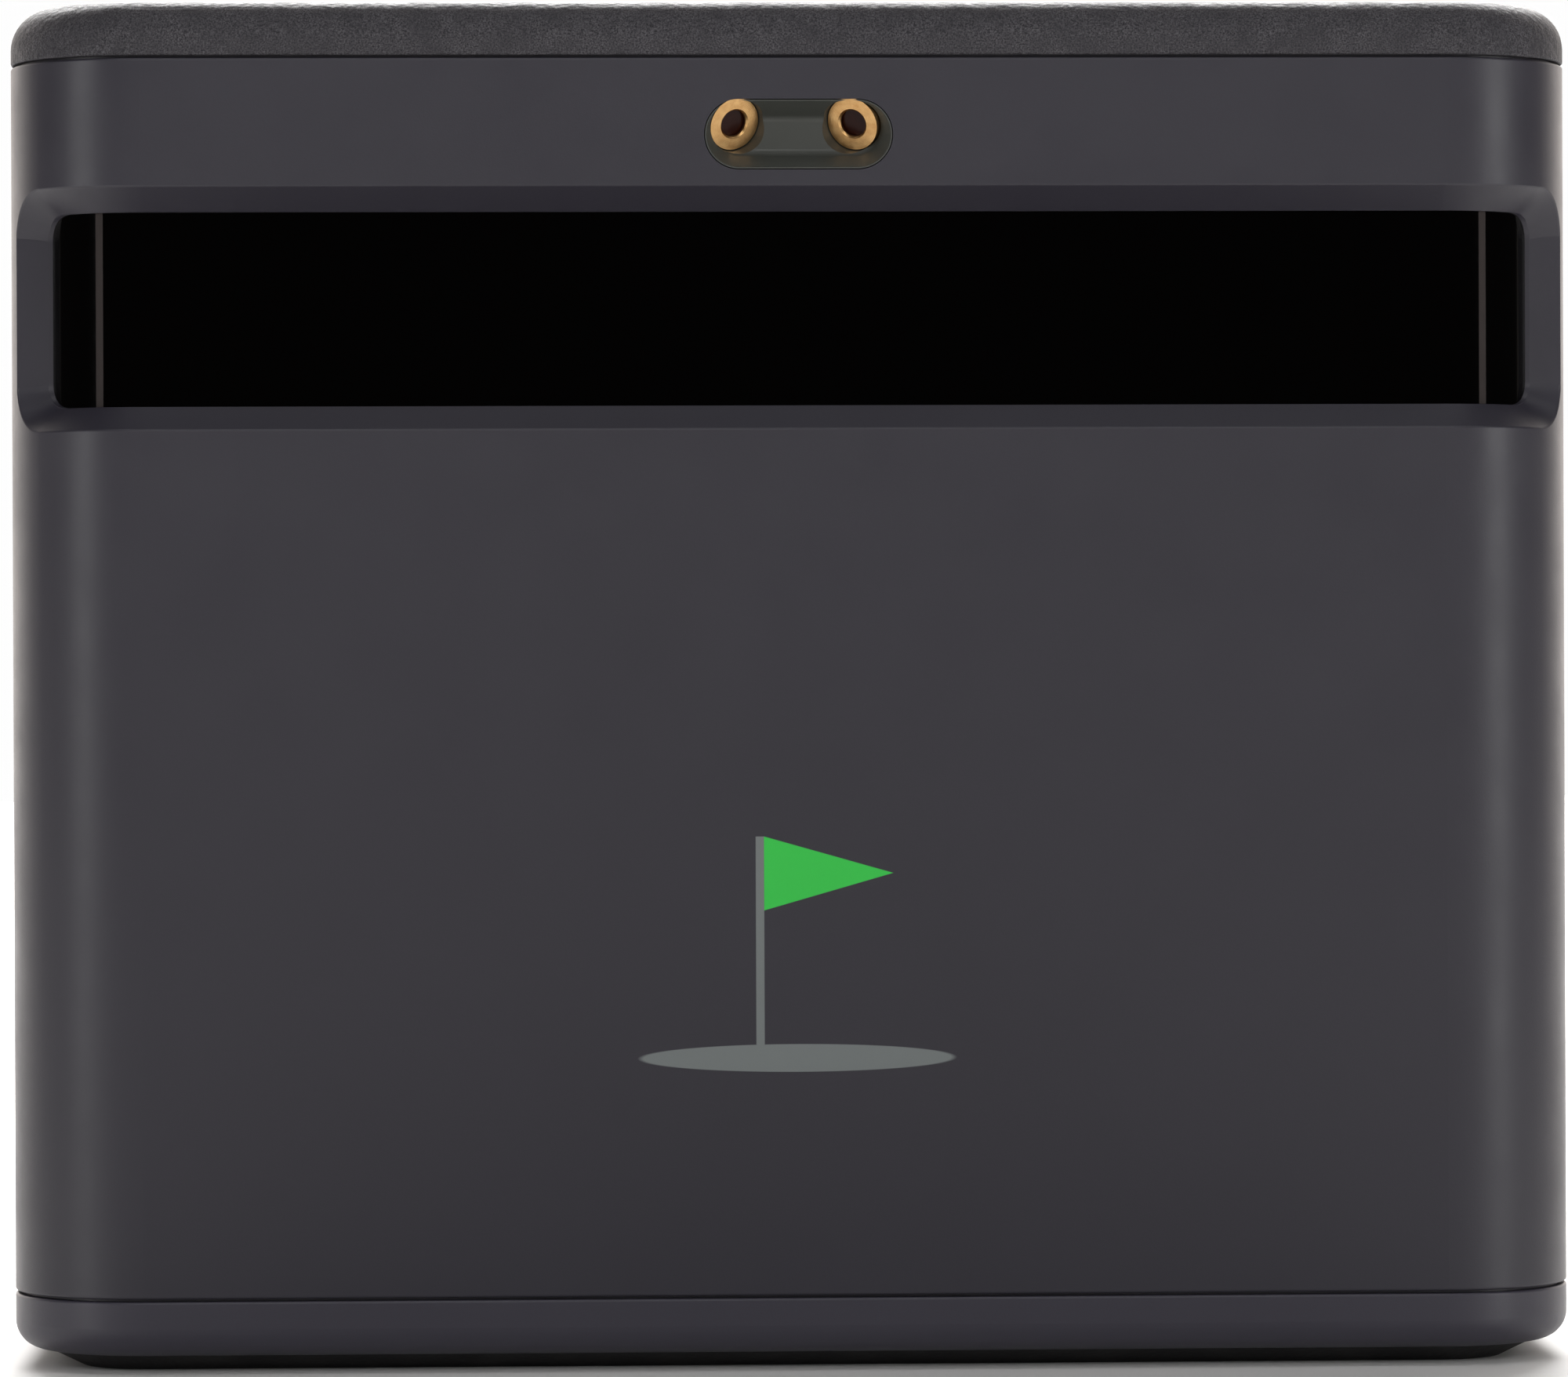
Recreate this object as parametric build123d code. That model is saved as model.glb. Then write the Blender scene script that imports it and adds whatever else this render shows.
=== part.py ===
"""Golf launch monitor: a free-standing camera box, built from its separate pieces.

Frame: origin at the middle of the underside, +Z up, the front faces -Y. Sizes are in mm.
"""
import os
from math import atan2, cos, degrees, radians, sin, sqrt

from build123d import *

# ---------------------------------------------------------------- driving dimensions
WIDTH = 171.5
DEPTH = 70.0
HEIGHT = 148.8
CORNER_R = 15.0
WALL = 2.4
FIT = 0.1                      # gap between pieces that slip together
SLIP = 0.02                    # gap round a disc seated in a bore
ROOT = 0.3                     # added features start this deep inside a wall
SOON = 0.01                    # tolerance when looking for an edge
FRONT_Y = -DEPTH / 2
REAR_Y = DEPTH / 2
CORNER_X = WIDTH / 2 - CORNER_R
CORNER_Y = DEPTH / 2 - CORNER_R

# the three levels of the casing
TOP_SEAM_Z = 142.65
BASE_SEAM_Z = 8.0
BASE_LOW_Z = 1.9
SIDE_SEAM_Y = 12.0             # front and rear housings meet here
SHADOW_GAP = 0.25
SHADOW_DEPTH = 0.9
EDGE_SOFT = 0.3
TOP_EDGE_R = 4.5
BASE_EDGE_R = 3.1
LIP_THICK = 1.4
LIP_REACH = 2.5
LIP_ROOT = 1.5
COVER_THICK = 2.2
COVER_STEP = 1.4               # the covers thicken by this much close to their walls
COVER_HAUNCH = 2.1             # and this is how wide the thick part is
BASE_FLOOR_Z = 5.2
RIB_HALF = 0.6
RIB_DEEP = 1.8
TOP_RIB_XS = (-45.0, -15.0, 15.0, 45.0)
TOP_RIB_YS = (-29.0, 29.0)
BASE_RIB_XS = (-60.0, 60.0)
BASE_RIB_YS = (-18.0, 0.0, 18.0)
TONGUE_REACH = 4.0
TONGUE_THICK = 1.2
TONGUE_SHORT = 3.0             # it stops this far short of both seams

# sole
SOLE_INSET = 3.5
SOLE_FOOT_INSET = 7.3          # its edge slopes in to here at the floor
SOLE_SEAT = 1.0
SOLE_GROOVE = 0.9
GROOVE_COUNT = 3
GROOVE_START = 1.4
GROOVE_STEP = 2.1
GROOVE_WIDTH = 1.0

# window recess, which wraps round both front corners
WINDOW_Z = 115.35
APERTURE_HEIGHT = 21.1
BEVEL_RISE = 2.6
RECESS_DEPTH = 3.0
OVERCUT = 0.6                  # cuts start this far outside the surface
LAND = 0.4
PANE_THICK = 2.0
PANE_MARGIN = 1.5
APERTURE_END_Y = -25.8
END_WALL_SLOPE = 0.16
ROUND_TURN = 42.0              # the recess starts to round off here, in degrees from the casing's side
ROUND_R_INNER = 3.14           # radius of its round corners beside the window
ROUND_R_OUTER = 7.2            # and at the casing's surface
APERTURE_CORNER_R = 2.8
DIVIDER_X = 75.4
DIVIDER_WIDTH = 0.8
GASKET_THICK = 1.0
GASKET_WIDTH = 2.0
CLAMP_THICK = 1.5
BAND_HALF = 14.75              # half height of the thick band of wall round the window
BAND_END_Y = -21.4
CLAMP_HALF = 14.6
CLAMP_SCREW_RISE = 13.45
CLAMP_SCREW_XS = (-60, -36, -12, 12, 36, 60)

# lasers
PILL_X = 0.5
PILL_Z = 134.05
PILL_LENGTH = 20.3
PILL_HEIGHT = 7.45
PILL_DEPTH = 4.8
PILL_RIM = 0.15
DISH_DEPTH = 2.4
DISH_SOFT = 1.0
DISH_SLOPE = 34.0              # degrees that the dish's wall leans in
BARREL_R = 2.95
BARREL_LENGTH = 12.0
BARREL_BORE_R = 2.3
BARREL_MOUTH_R = 1.5
BARREL_LIP = 0.7
BARREL_X = 6.4
BARREL_Z = 135.3
BARREL_Y = FRONT_Y + 1.9
BARREL_CHAMFER = 0.2
CLEAR_AHEAD = 4.0              # the slanted holes run on this far in front of the barrels
LASER_LENS_THICK = 1.4
DIODE_FLANGE = 1.5
DIODE_CAN = 3.0
DIODE_CAN_R = 1.6
AIM_SIDE = 0.465
AIM_OUT = 0.80
AIM_DOWN = 0.38

# chassis
CHASSIS_Y = 2.0
CHASSIS_THICK = 2.0
CHASSIS_HALF = 76.0
CHASSIS_LOW_Z = 12.0
CHASSIS_HIGH_Z = 139.0
POST_X = 66.0
POST_ZS = (22.0, 90.0, 136.0)
POST_R = 3.6
POST_PILOT = 9.0
SCREW_R = 1.5                  # M3
PILOT_R = 1.55
CLEAR_R = 1.7
HEAD_R = 2.8
HEAD_H = 1.8
LOW_HEAD_H = 1.6
SLOT_LENGTH = 1.2              # of the cross slot in a screw's head, in head radii
SLOT_WIDTH = 0.3
SMALL_R = 1.0                  # M2
SMALL_PILOT_R = 1.05
SMALL_CLEAR_R = 1.2
SMALL_HEAD_R = 1.9
SMALL_HEAD_H = 1.3
TINY_R = 0.7                   # M1.4, in the window frame
TINY_PILOT_R = 0.72
TINY_CLEAR_R = 0.85
TINY_HEAD_R = 1.1
TINY_HEAD_H = 0.9
TINY_REACH = 3.4
TINY_GRIP = 2.2

# cameras and strobe
CAMERA_X = 56.0
CAMERA_SIDE = 26.0
CAMERA_BODY_DEPTH = 10.4
BOARD_THICK = 1.6
LENS_R = 7.5
LENS_BORE_R = 5.0
LENS_FRONT_Y = -23.0
STROBE_X = 20.0
STROBE_WIDTH = 34.0
STROBE_HEIGHT = 20.0

# controls in the rear wall
PANEL_Z = 30.0
PANEL_LENGTH = 76.0
PANEL_HEIGHT = 18.0
PANEL_DEPTH = 1.2
PANEL_CORNER = 4.0
PANEL_Y = REAR_Y - PANEL_DEPTH
POWER_X = -24.0
MODE_X = -8.0
LIGHT_XS = (4.0, 10.0)
PIPE_R = 1.2
PIPE_GAP = 0.05
PORT_X = 26.0
PORT_HOLE = (8.4, 3.7, 1.0)    # width, height and corner radius
PORT_SHELL = (7.6, 2.9, 0.8)
PORT_INSIDE = (7.0, 2.3, 0.5)
PORT_BOSS_R = 2.6
PORT_SCREW_GRIP = 4.0
BUTTON_R = 4.4
BUTTON_GAP = 0.3
BUTTON_TRAVEL = 0.8
FLANGE_R = 5.6
FLANGE_THICK = 0.8
PORT_BOARD_Y = 27.6            # the board's face towards the rear wall


# ---------------------------------------------------------------- shared shapes
def outline(inset=0.0):
    """Plan outline of the casing, drawn in from its outside."""
    return RectangleRounded(WIDTH - 2 * inset, DEPTH - 2 * inset, CORNER_R - inset)


def prism(inset, low, high):
    """Upright solid of the casing's outline."""
    return extrude(Plane.XY.offset(low) * outline(inset), amount=high - low)


def ring(outer, inner, low, high):
    """Upright wall between two insets of the casing's outline."""
    return prism(outer, low, high) - prism(inner, low, high)


def block(xs, ys, zs):
    """Box between two x, two y and two z values."""
    size = Box(xs[1] - xs[0], ys[1] - ys[0], zs[1] - zs[0])
    return Pos((xs[0] + xs[1]) / 2, (ys[0] + ys[1]) / 2, (zs[0] + zs[1]) / 2) * size


def rod(start, end, radius):
    """Round rod from one point to another."""
    start = Vector(*start)
    along = Vector(*end) - start
    base = (Align.CENTER, Align.CENTER, Align.MIN)
    return Plane(origin=start, z_dir=along) * Cylinder(radius, along.length, align=base)


def rod_y(x, z, y_from, y_to, radius):
    """Round rod along Y."""
    return rod((x, y_from, z), (x, y_to, z), radius)


def rod_z(x, y, z_from, z_to, radius):
    """Round rod along Z."""
    return rod((x, y, z_from), (x, y, z_to), radius)


def rounded_slab(centre_x, centre_z, width, height, corner, y_from, y_to):
    """Flat slab in the XZ plane with round corners."""
    face = Plane.XZ.offset(-y_to) * (Pos(centre_x, centre_z) * RectangleRounded(width, height, corner))
    return extrude(face, amount=y_to - y_from)


def screw(head_at, tip, sizes=(HEAD_R, HEAD_H, SCREW_R)):
    """Pan-head screw: the head's underside is at head_at, and a cross slot is cut in its top."""
    head_r, head_h, shank_r = sizes
    under = Vector(*head_at)
    point = Vector(*tip)
    out = (under - point).normalized()
    top = under + out * head_h
    body = rod(tip, tuple(top), shank_r) + rod(head_at, tuple(top), head_r)
    long, narrow = head_r * SLOT_LENGTH, head_r * SLOT_WIDTH
    slot = Box(long, narrow, head_h) + Box(narrow, long, head_h)
    return body - Plane(origin=top, z_dir=out) * slot


SMALL_SCREW = (SMALL_HEAD_R, SMALL_HEAD_H, SMALL_R)
TINY_SCREW = (TINY_HEAD_R, TINY_HEAD_H, TINY_R)


def group(solids):
    """Several separate solids in one node."""
    return Compound(children=[s for item in solids for s in item.solids()])


def mirrored(shape):
    """The same piece on the other side of the middle."""
    return mirror(shape, about=Plane.YZ)


# ---------------------------------------------------------------- window recess
def section(radii, half_heights):
    """Upright face beside the corner's axis, between two radii."""
    (r_in, r_out), (h_in, h_out) = radii, half_heights
    points = [(r_in, 0, WINDOW_Z - h_in), (r_out, 0, WINDOW_Z - h_out),
              (r_out, 0, WINDOW_Z + h_out), (r_in, 0, WINDOW_Z + h_in)]
    return make_face(Polyline(*points, close=True))


def wrapped(radii, half_heights):
    """A section carried along the front and round both front corners."""
    turned = Rot(0, 0, -90) * section(radii, half_heights)
    straight = extrude(Pos(-CORNER_X, -CORNER_Y, 0) * turned, amount=2 * CORNER_X, dir=(1, 0, 0))
    quarter = revolve(turned, axis=Axis.Z, revolution_arc=90)
    corner = Pos(CORNER_X, -CORNER_Y, 0) * quarter
    return straight + corner + mirrored(corner)


def in_front_of(y_end, slope=0.0):
    """Everything forward of a line in plan that leans back towards both sides."""
    far = WIDTH
    inner_r = CORNER_R - RECESS_DEPTH
    knee = CORNER_X + sqrt(inner_r ** 2 - (y_end + CORNER_Y) ** 2)
    half = [(knee, y_end), (far, y_end + slope * (far - knee)), (far, -far)]
    points = half + [(-x, y) for x, y in reversed(half)]
    return extrude(make_face(Polyline(*points, close=True)), amount=HEIGHT)


def round_corner():
    """Material left in the upper right corner of the recess, which rounds off its outline."""
    turn = radians(ROUND_TURN)
    out = Vector(cos(turn), -sin(turn), 0)
    along = Vector(sin(turn), cos(turn), 0)
    centre = Vector(CORNER_X, -CORNER_Y, WINDOW_Z)
    beyond = OVERCUT
    steps = []
    for radius, share in ((CORNER_R - RECESS_DEPTH - beyond, -beyond / RECESS_DEPTH),
                          (CORNER_R + beyond, 1 + beyond / RECESS_DEPTH)):
        round_r = ROUND_R_INNER + share * (ROUND_R_OUTER - ROUND_R_INNER)
        rise = APERTURE_HEIGHT / 2 + share * BEVEL_RISE - round_r
        steps.append((radius, rise, round_r))
    discs = [Plane(origin=centre + out * r + Vector(0, 0, rise), x_dir=along, z_dir=out) * Circle(round_r)
             for r, rise, round_r in steps]
    (r_in, rise_in, _), (r_out, rise_out, _) = steps
    over = HEIGHT - WINDOW_Z
    side = make_face(Polyline((r_in, rise_in), (r_out, rise_out), (r_out, over), (r_in, over), close=True))
    filler = extrude(Plane(origin=centre, x_dir=out, z_dir=along * -1) * side, amount=-CORNER_R)
    return filler - loft(discs, ruled=True)


def funnel():
    """The bevelled recess from the surface down to the window."""
    slope = BEVEL_RISE / RECESS_DEPTH
    beyond = OVERCUT
    half = APERTURE_HEIGHT / 2
    radii = (CORNER_R - RECESS_DEPTH, CORNER_R + beyond)
    solid = wrapped(radii, (half, half + slope * (RECESS_DEPTH + beyond)))
    solid = solid & in_front_of(APERTURE_END_Y, END_WALL_SLOPE)
    upper = round_corner()
    for corner in (upper, mirror(upper, about=Plane.XY.offset(WINDOW_Z))):
        solid = solid - corner - mirrored(corner)
    return solid


def recess_rim(body):
    """Long edges where the recess's bevels meet the outside of the casing."""
    rise = APERTURE_HEIGHT / 2 + BEVEL_RISE
    found = []
    for edge in body.edges():
        box = edge.bounding_box()
        level = abs(abs(box.center().Z - WINDOW_Z) - rise) < SOON and box.size.Z < SOON
        if level and is_outer(edge):
            found.append(edge)
    return found


def wrapped_band(insets, half_height, y_end, corner=0.0):
    """Plain curved slab behind the recess, cut off square at y_end."""
    radii = (CORNER_R - insets[1], CORNER_R - insets[0])
    solid = wrapped(radii, (half_height, half_height))
    length = y_end - FRONT_Y + 20
    side = Pos(y_end - length / 2, WINDOW_Z) * Rectangle(length, 2 * half_height)
    if corner:
        side = fillet(side.vertices().group_by(Axis.X)[-1], corner)
    clip = extrude(Plane.YZ * side, amount=WIDTH, both=True)
    return solid & clip


def aperture():
    """The window opening through the land and past it."""
    insets = (RECESS_DEPTH - FIT, CORNER_R / 2)
    return wrapped_band(insets, APERTURE_HEIGHT / 2, APERTURE_END_Y, APERTURE_CORNER_R)


PANE_FACE = RECESS_DEPTH + LAND
PANE_BACK = PANE_FACE + PANE_THICK
GASKET_BACK = PANE_BACK + GASKET_THICK
PANE_HALF = APERTURE_HEIGHT / 2 + PANE_MARGIN
PANE_END_Y = APERTURE_END_Y + PANE_MARGIN


def whole_pane():
    """The window from end to end, before it is divided."""
    return wrapped_band((PANE_FACE, PANE_BACK), PANE_HALF, PANE_END_Y)


def column(x_low, x_high):
    """Upright slice of everything between two x values."""
    return block((x_low, x_high), (FRONT_Y, 0), (0, HEIGHT))


# ---------------------------------------------------------------- lasers
def aim(side):
    """Unit direction that a laser shines in: down, out and across the middle."""
    return Vector(-side * AIM_SIDE, -AIM_OUT, -AIM_DOWN).normalized()


def barrel_point(side, depth):
    """Point on a laser's axis, at a depth behind the centre of its face."""
    return Vector(side * BARREL_X, BARREL_Y, BARREL_Z) - aim(side) * depth


def barrel_rod(side, depth_from, depth_to, radius):
    """Round rod on a laser's axis."""
    return rod(tuple(barrel_point(side, depth_from)), tuple(barrel_point(side, depth_to)), radius)


def laser_clearance():
    """Slanted holes that both barrels pass through."""
    holes = [barrel_rod(side, -CLEAR_AHEAD, BARREL_LENGTH + ROOT, BARREL_R + FIT) for side in (-1, 1)]
    return holes[0] + holes[1]


def pill(inset, y_from, y_to, lean=0.0):
    """Pill-shaped slab, which can narrow towards its rear."""
    height = PILL_HEIGHT - 2 * inset
    outline_2d = RectangleRounded(PILL_LENGTH - 2 * inset, height, height / 2 - SOON)
    face = Plane(origin=(PILL_X, y_from, PILL_Z), x_dir=(-1, 0, 0), z_dir=(0, 1, 0)) * outline_2d
    return extrude(face, amount=y_to - y_from, taper=lean)


def laser_bezel():
    """Dished insert with two slanted holes."""
    dish = pill(PILL_RIM, FRONT_Y, FRONT_Y + DISH_DEPTH, DISH_SLOPE)
    dish = fillet(dish.edges().group_by(Axis.Y)[-1], DISH_SOFT)
    return pill(0, FRONT_Y, FRONT_Y + PILL_DEPTH) - dish - laser_clearance()


def laser_barrel(side):
    """Tube with a lip round its mouth and both edges of its face chamfered."""
    tube = barrel_rod(side, 0, BARREL_LENGTH, BARREL_R)
    tube = tube - barrel_rod(side, BARREL_LIP, BARREL_LENGTH, BARREL_BORE_R)
    mouth = barrel_rod(side, 0, BARREL_LIP, BARREL_MOUTH_R)
    tube = tube - mouth
    face = tube.edges().filter_by(GeomType.CIRCLE).sort_by_distance(barrel_point(side, 0))[:2]
    return chamfer(face, BARREL_CHAMFER)


def laser_lens(side):
    return barrel_rod(side, BARREL_LIP, BARREL_LIP + LASER_LENS_THICK, BARREL_BORE_R - SLIP)


def laser_diode(side):
    """Diode: a small can on a flange that closes the barrel's rear end."""
    flange_at = BARREL_LENGTH - DIODE_FLANGE
    can = barrel_rod(side, flange_at - DIODE_CAN, flange_at, DIODE_CAN_R)
    return can + barrel_rod(side, flange_at, BARREL_LENGTH, BARREL_BORE_R - SLIP)


LASER_BLOCK_FRONT = -29.9
LASER_BLOCK_BACK = -21.0
LASER_EAR_X = 20.5
LASER_EAR_Z = 136.0
LASER_EAR_BACK = -26.9
LASER_EAR_R = 2.6
LASER_SCREW_GRIP = 2.5
LASER_BLOCK_HALF = 17.0
LASER_BLOCK_ZS = (130.6, 142.4)
LASER_WINGS_HALF = 24.0
LASER_WINGS_ZS = (133.0, 139.0)
LASER_BOARD_HALF = 15.0
LASER_BOARD_ZS = (131.2, 141.8)
LASER_BOARD_THICK = 1.2
LASER_CHIP_XS = (-9.0, 5.0)
LASER_CHIP_ZS = (135.0, 139.0)
CHIP_THICK = 1.0


def laser_block():
    """Metal block that holds both lasers, with a wing for a screw on each side."""
    body = block((-LASER_BLOCK_HALF, LASER_BLOCK_HALF), (LASER_BLOCK_FRONT, LASER_BLOCK_BACK), LASER_BLOCK_ZS)
    wings = block((-LASER_WINGS_HALF, LASER_WINGS_HALF), (LASER_BLOCK_FRONT, LASER_EAR_BACK), LASER_WINGS_ZS)
    body = body + wings - laser_clearance()
    for x in (-LASER_EAR_X, LASER_EAR_X):
        body = body - rod_y(x, LASER_EAR_Z, LASER_BLOCK_FRONT, LASER_EAR_BACK, SMALL_CLEAR_R)
    return body


def laser_board():
    """Driver board behind the laser block, with two chips."""
    face = LASER_BLOCK_BACK + LASER_BOARD_THICK
    board = block((-LASER_BOARD_HALF, LASER_BOARD_HALF), (LASER_BLOCK_BACK, face), LASER_BOARD_ZS)
    chips = [block((x, x + 4), (face, face + CHIP_THICK), LASER_CHIP_ZS) for x in LASER_CHIP_XS]
    return board + chips


def laser_screws():
    solids = []
    for x in (-LASER_EAR_X, LASER_EAR_X):
        head = (x, LASER_EAR_BACK, LASER_EAR_Z)
        tip = (x, LASER_BLOCK_FRONT - LASER_SCREW_GRIP, LASER_EAR_Z)
        solids.append(screw(head, tip, SMALL_SCREW))
    return group(solids)


# ---------------------------------------------------------------- casing
BOSS_OUT = 4.9                 # cover screws stand this far out from a corner's axis, in x and y
COVER_SCREW_X = CORNER_X + BOSS_OUT
COVER_SCREW_Y = CORNER_Y + BOSS_OUT
COVER_SCREW_LOW = 5.0
BOSS_LOW_Z = 10.6
BOSS_HIGH_Z = 26.0
WEB_THICK = 2.4
REAR_SCREW_X = 70.0
REAR_SCREW_ZS = (38.0, 115.0)
REAR_BOSS_R = 4.2
REAR_SINK = 2.0                # the screw heads sit this far below the rear face
REAR_SCREW_LENGTH = 10.0
HEAD_GAP = 0.3
COVER_SCREW_LENGTH = 14.0
SPACER_END_Y = 31.4


def sleeve():
    """Wall of the main casing, with both shadow gaps stepped into its ends."""
    outer = prism(0, BASE_SEAM_Z, TOP_SEAM_Z)
    for edge_z, step in ((BASE_SEAM_Z, SHADOW_GAP), (TOP_SEAM_Z, -SHADOW_GAP)):
        low, high = sorted((edge_z, edge_z + step))
        outer = outer - ring(-1, SHADOW_DEPTH, low, high)
    soft = []
    for edge in outer.edges():
        z = edge.center().Z
        near = min(abs(z - BASE_SEAM_Z - SHADOW_GAP), abs(z - TOP_SEAM_Z + SHADOW_GAP))
        if near < SOON and edge.bounding_box().size.Z < SOON and is_outer(edge):
            soft.append(edge)
    return fillet(soft, EDGE_SOFT) - prism(WALL, BASE_SEAM_Z, TOP_SEAM_Z)


def is_outer(edge):
    """True for an edge on the casing's outside, not one at the foot of a shadow gap."""
    point = edge.position_at(0.5)
    over_x = max(abs(point.X) - CORNER_X, 0)
    over_y = max(abs(point.Y) - CORNER_Y, 0)
    reach = sqrt(over_x ** 2 + over_y ** 2) if over_x and over_y else max(over_x, over_y)
    return reach > CORNER_R - SOON


def corner_web(x, y, low, high):
    """Rib that ties a cover screw's boss to the round corner of the wall."""
    middle = CORNER_R / 2
    turn = 45 if x * y > 0 else -45
    out_x = middle * (1 if x > 0 else -1) / sqrt(2)
    out_y = middle * (1 if y > 0 else -1) / sqrt(2)
    centre_x = out_x + (CORNER_X if x > 0 else -CORNER_X)
    centre_y = out_y + (CORNER_Y if y > 0 else -CORNER_Y)
    rib = Pos(centre_x, centre_y, (low + high) / 2) * Rot(0, 0, turn) * Box(CORNER_R, WEB_THICK, high - low)
    return rib & prism(WALL - ROOT, low, high)


def cover_bosses(y):
    """Pair of bosses that the base cover's screws run into."""
    solids = []
    for x in (-COVER_SCREW_X, COVER_SCREW_X):
        boss = rod_z(x, y, BOSS_LOW_Z, BOSS_HIGH_Z, POST_R)
        solids.append(boss + corner_web(x, y, BOSS_LOW_Z, BOSS_HIGH_Z))
    return solids


def boss_pilots(y):
    """Threaded holes of those bosses."""
    return [rod_z(x, y, BOSS_LOW_Z - 1, BOSS_HIGH_Z - 4, PILOT_R) for x in (-COVER_SCREW_X, COVER_SCREW_X)]


def front_housing():
    """Front two thirds of the wall, with the recess, the posts and the laser opening."""
    body = sleeve() & block((-WIDTH, WIDTH), (-DEPTH, SIDE_SEAM_Y), (0, HEIGHT))
    seam_step = ring(-1, SHADOW_DEPTH, BASE_SEAM_Z, TOP_SEAM_Z)
    body = body - (seam_step & block((-WIDTH, WIDTH), (SIDE_SEAM_Y - SHADOW_GAP, DEPTH), (0, HEIGHT)))
    body = body + wrapped_band((WALL / 2, GASKET_BACK), BAND_HALF, BAND_END_Y)
    inner_y = FRONT_Y + WALL - ROOT
    for z in POST_ZS:
        for x in (-POST_X, POST_X):
            body = body + rod_y(x, z, inner_y, CHASSIS_Y, POST_R)
            body = body - rod_y(x, z, CHASSIS_Y - POST_PILOT, CHASSIS_Y, PILOT_R)
    for x in (-LASER_EAR_X, LASER_EAR_X):
        body = body + rod_y(x, LASER_EAR_Z, inner_y, LASER_BLOCK_FRONT, LASER_EAR_R)
        bottom = LASER_BLOCK_FRONT - LASER_SCREW_GRIP
        body = body - rod_y(x, LASER_EAR_Z, bottom, LASER_BLOCK_FRONT, SMALL_PILOT_R)
    for boss in cover_bosses(-COVER_SCREW_Y):
        body = body + boss
    for hole in boss_pilots(-COVER_SCREW_Y):
        body = body - hole
    body = body - funnel()
    body = fillet(recess_rim(body), EDGE_SOFT) - aperture()
    body = body - wrapped_band((PANE_FACE, GASKET_BACK + 1), PANE_HALF + FIT, PANE_END_Y + FIT)
    body = body - pill(-FIT, FRONT_Y - 1, FRONT_Y + WALL + 1) - laser_clearance()
    for x, z in clamp_screw_places():
        body = body - rod_y(x, z, FRONT_Y + GASKET_BACK - TINY_GRIP, FRONT_Y + GASKET_BACK, TINY_PILOT_R)
    return body


def rear_housing():
    """Rear third of the wall, with its tongue, screw bosses and control panel."""
    body = sleeve() & block((-WIDTH, WIDTH), (SIDE_SEAM_Y, DEPTH), (0, HEIGHT))
    low, high = BASE_SEAM_Z + TONGUE_SHORT, TOP_SEAM_Z - TONGUE_SHORT
    tongue = ring(WALL + FIT, WALL + FIT + TONGUE_THICK, low, high)
    reach = (SIDE_SEAM_Y - TONGUE_REACH, SIDE_SEAM_Y + TONGUE_REACH)
    tongue = tongue & block((-WIDTH, WIDTH), reach, (0, HEIGHT))
    root = ring(WALL - ROOT, WALL + FIT + TONGUE_THICK, low, high)
    root = root & block((-WIDTH, WIDTH), (SIDE_SEAM_Y, SIDE_SEAM_Y + TONGUE_REACH), (0, HEIGHT))
    body = body + tongue + root
    for boss in cover_bosses(COVER_SCREW_Y):
        body = body + boss
    for hole in boss_pilots(COVER_SCREW_Y):
        body = body - hole
    wall_y = REAR_Y - WALL
    for z in REAR_SCREW_ZS:
        for x in (-REAR_SCREW_X, REAR_SCREW_X):
            body = body + rod_y(x, z, SPACER_END_Y, wall_y + ROOT, REAR_BOSS_R)
            body = body - rod_y(x, z, SPACER_END_Y, REAR_Y, CLEAR_R)
            body = body - rod_y(x, z, REAR_Y - REAR_SINK, REAR_Y, HEAD_R + HEAD_GAP)
    for x in PORT_BOSS_XS:
        body = body + rod_y(x, PANEL_Z, PORT_BOARD_Y, wall_y + ROOT, PORT_BOSS_R)
        body = body - rod_y(x, PANEL_Z, PORT_BOARD_Y, PORT_BOARD_Y + PORT_SCREW_GRIP, SMALL_PILOT_R)
    body = body - rounded_slab(0, PANEL_Z, PANEL_LENGTH, PANEL_HEIGHT, PANEL_CORNER, PANEL_Y, REAR_Y)
    for x in (POWER_X, MODE_X):
        body = body - rod_y(x, PANEL_Z, wall_y, REAR_Y, BUTTON_R + BUTTON_GAP)
    for x in LIGHT_XS:
        body = body - rod_y(x, PANEL_Z, wall_y, REAR_Y, PIPE_R + PIPE_GAP)
    return body - rounded_slab(PORT_X, PANEL_Z, *PORT_HOLE, wall_y, REAR_Y)


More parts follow.
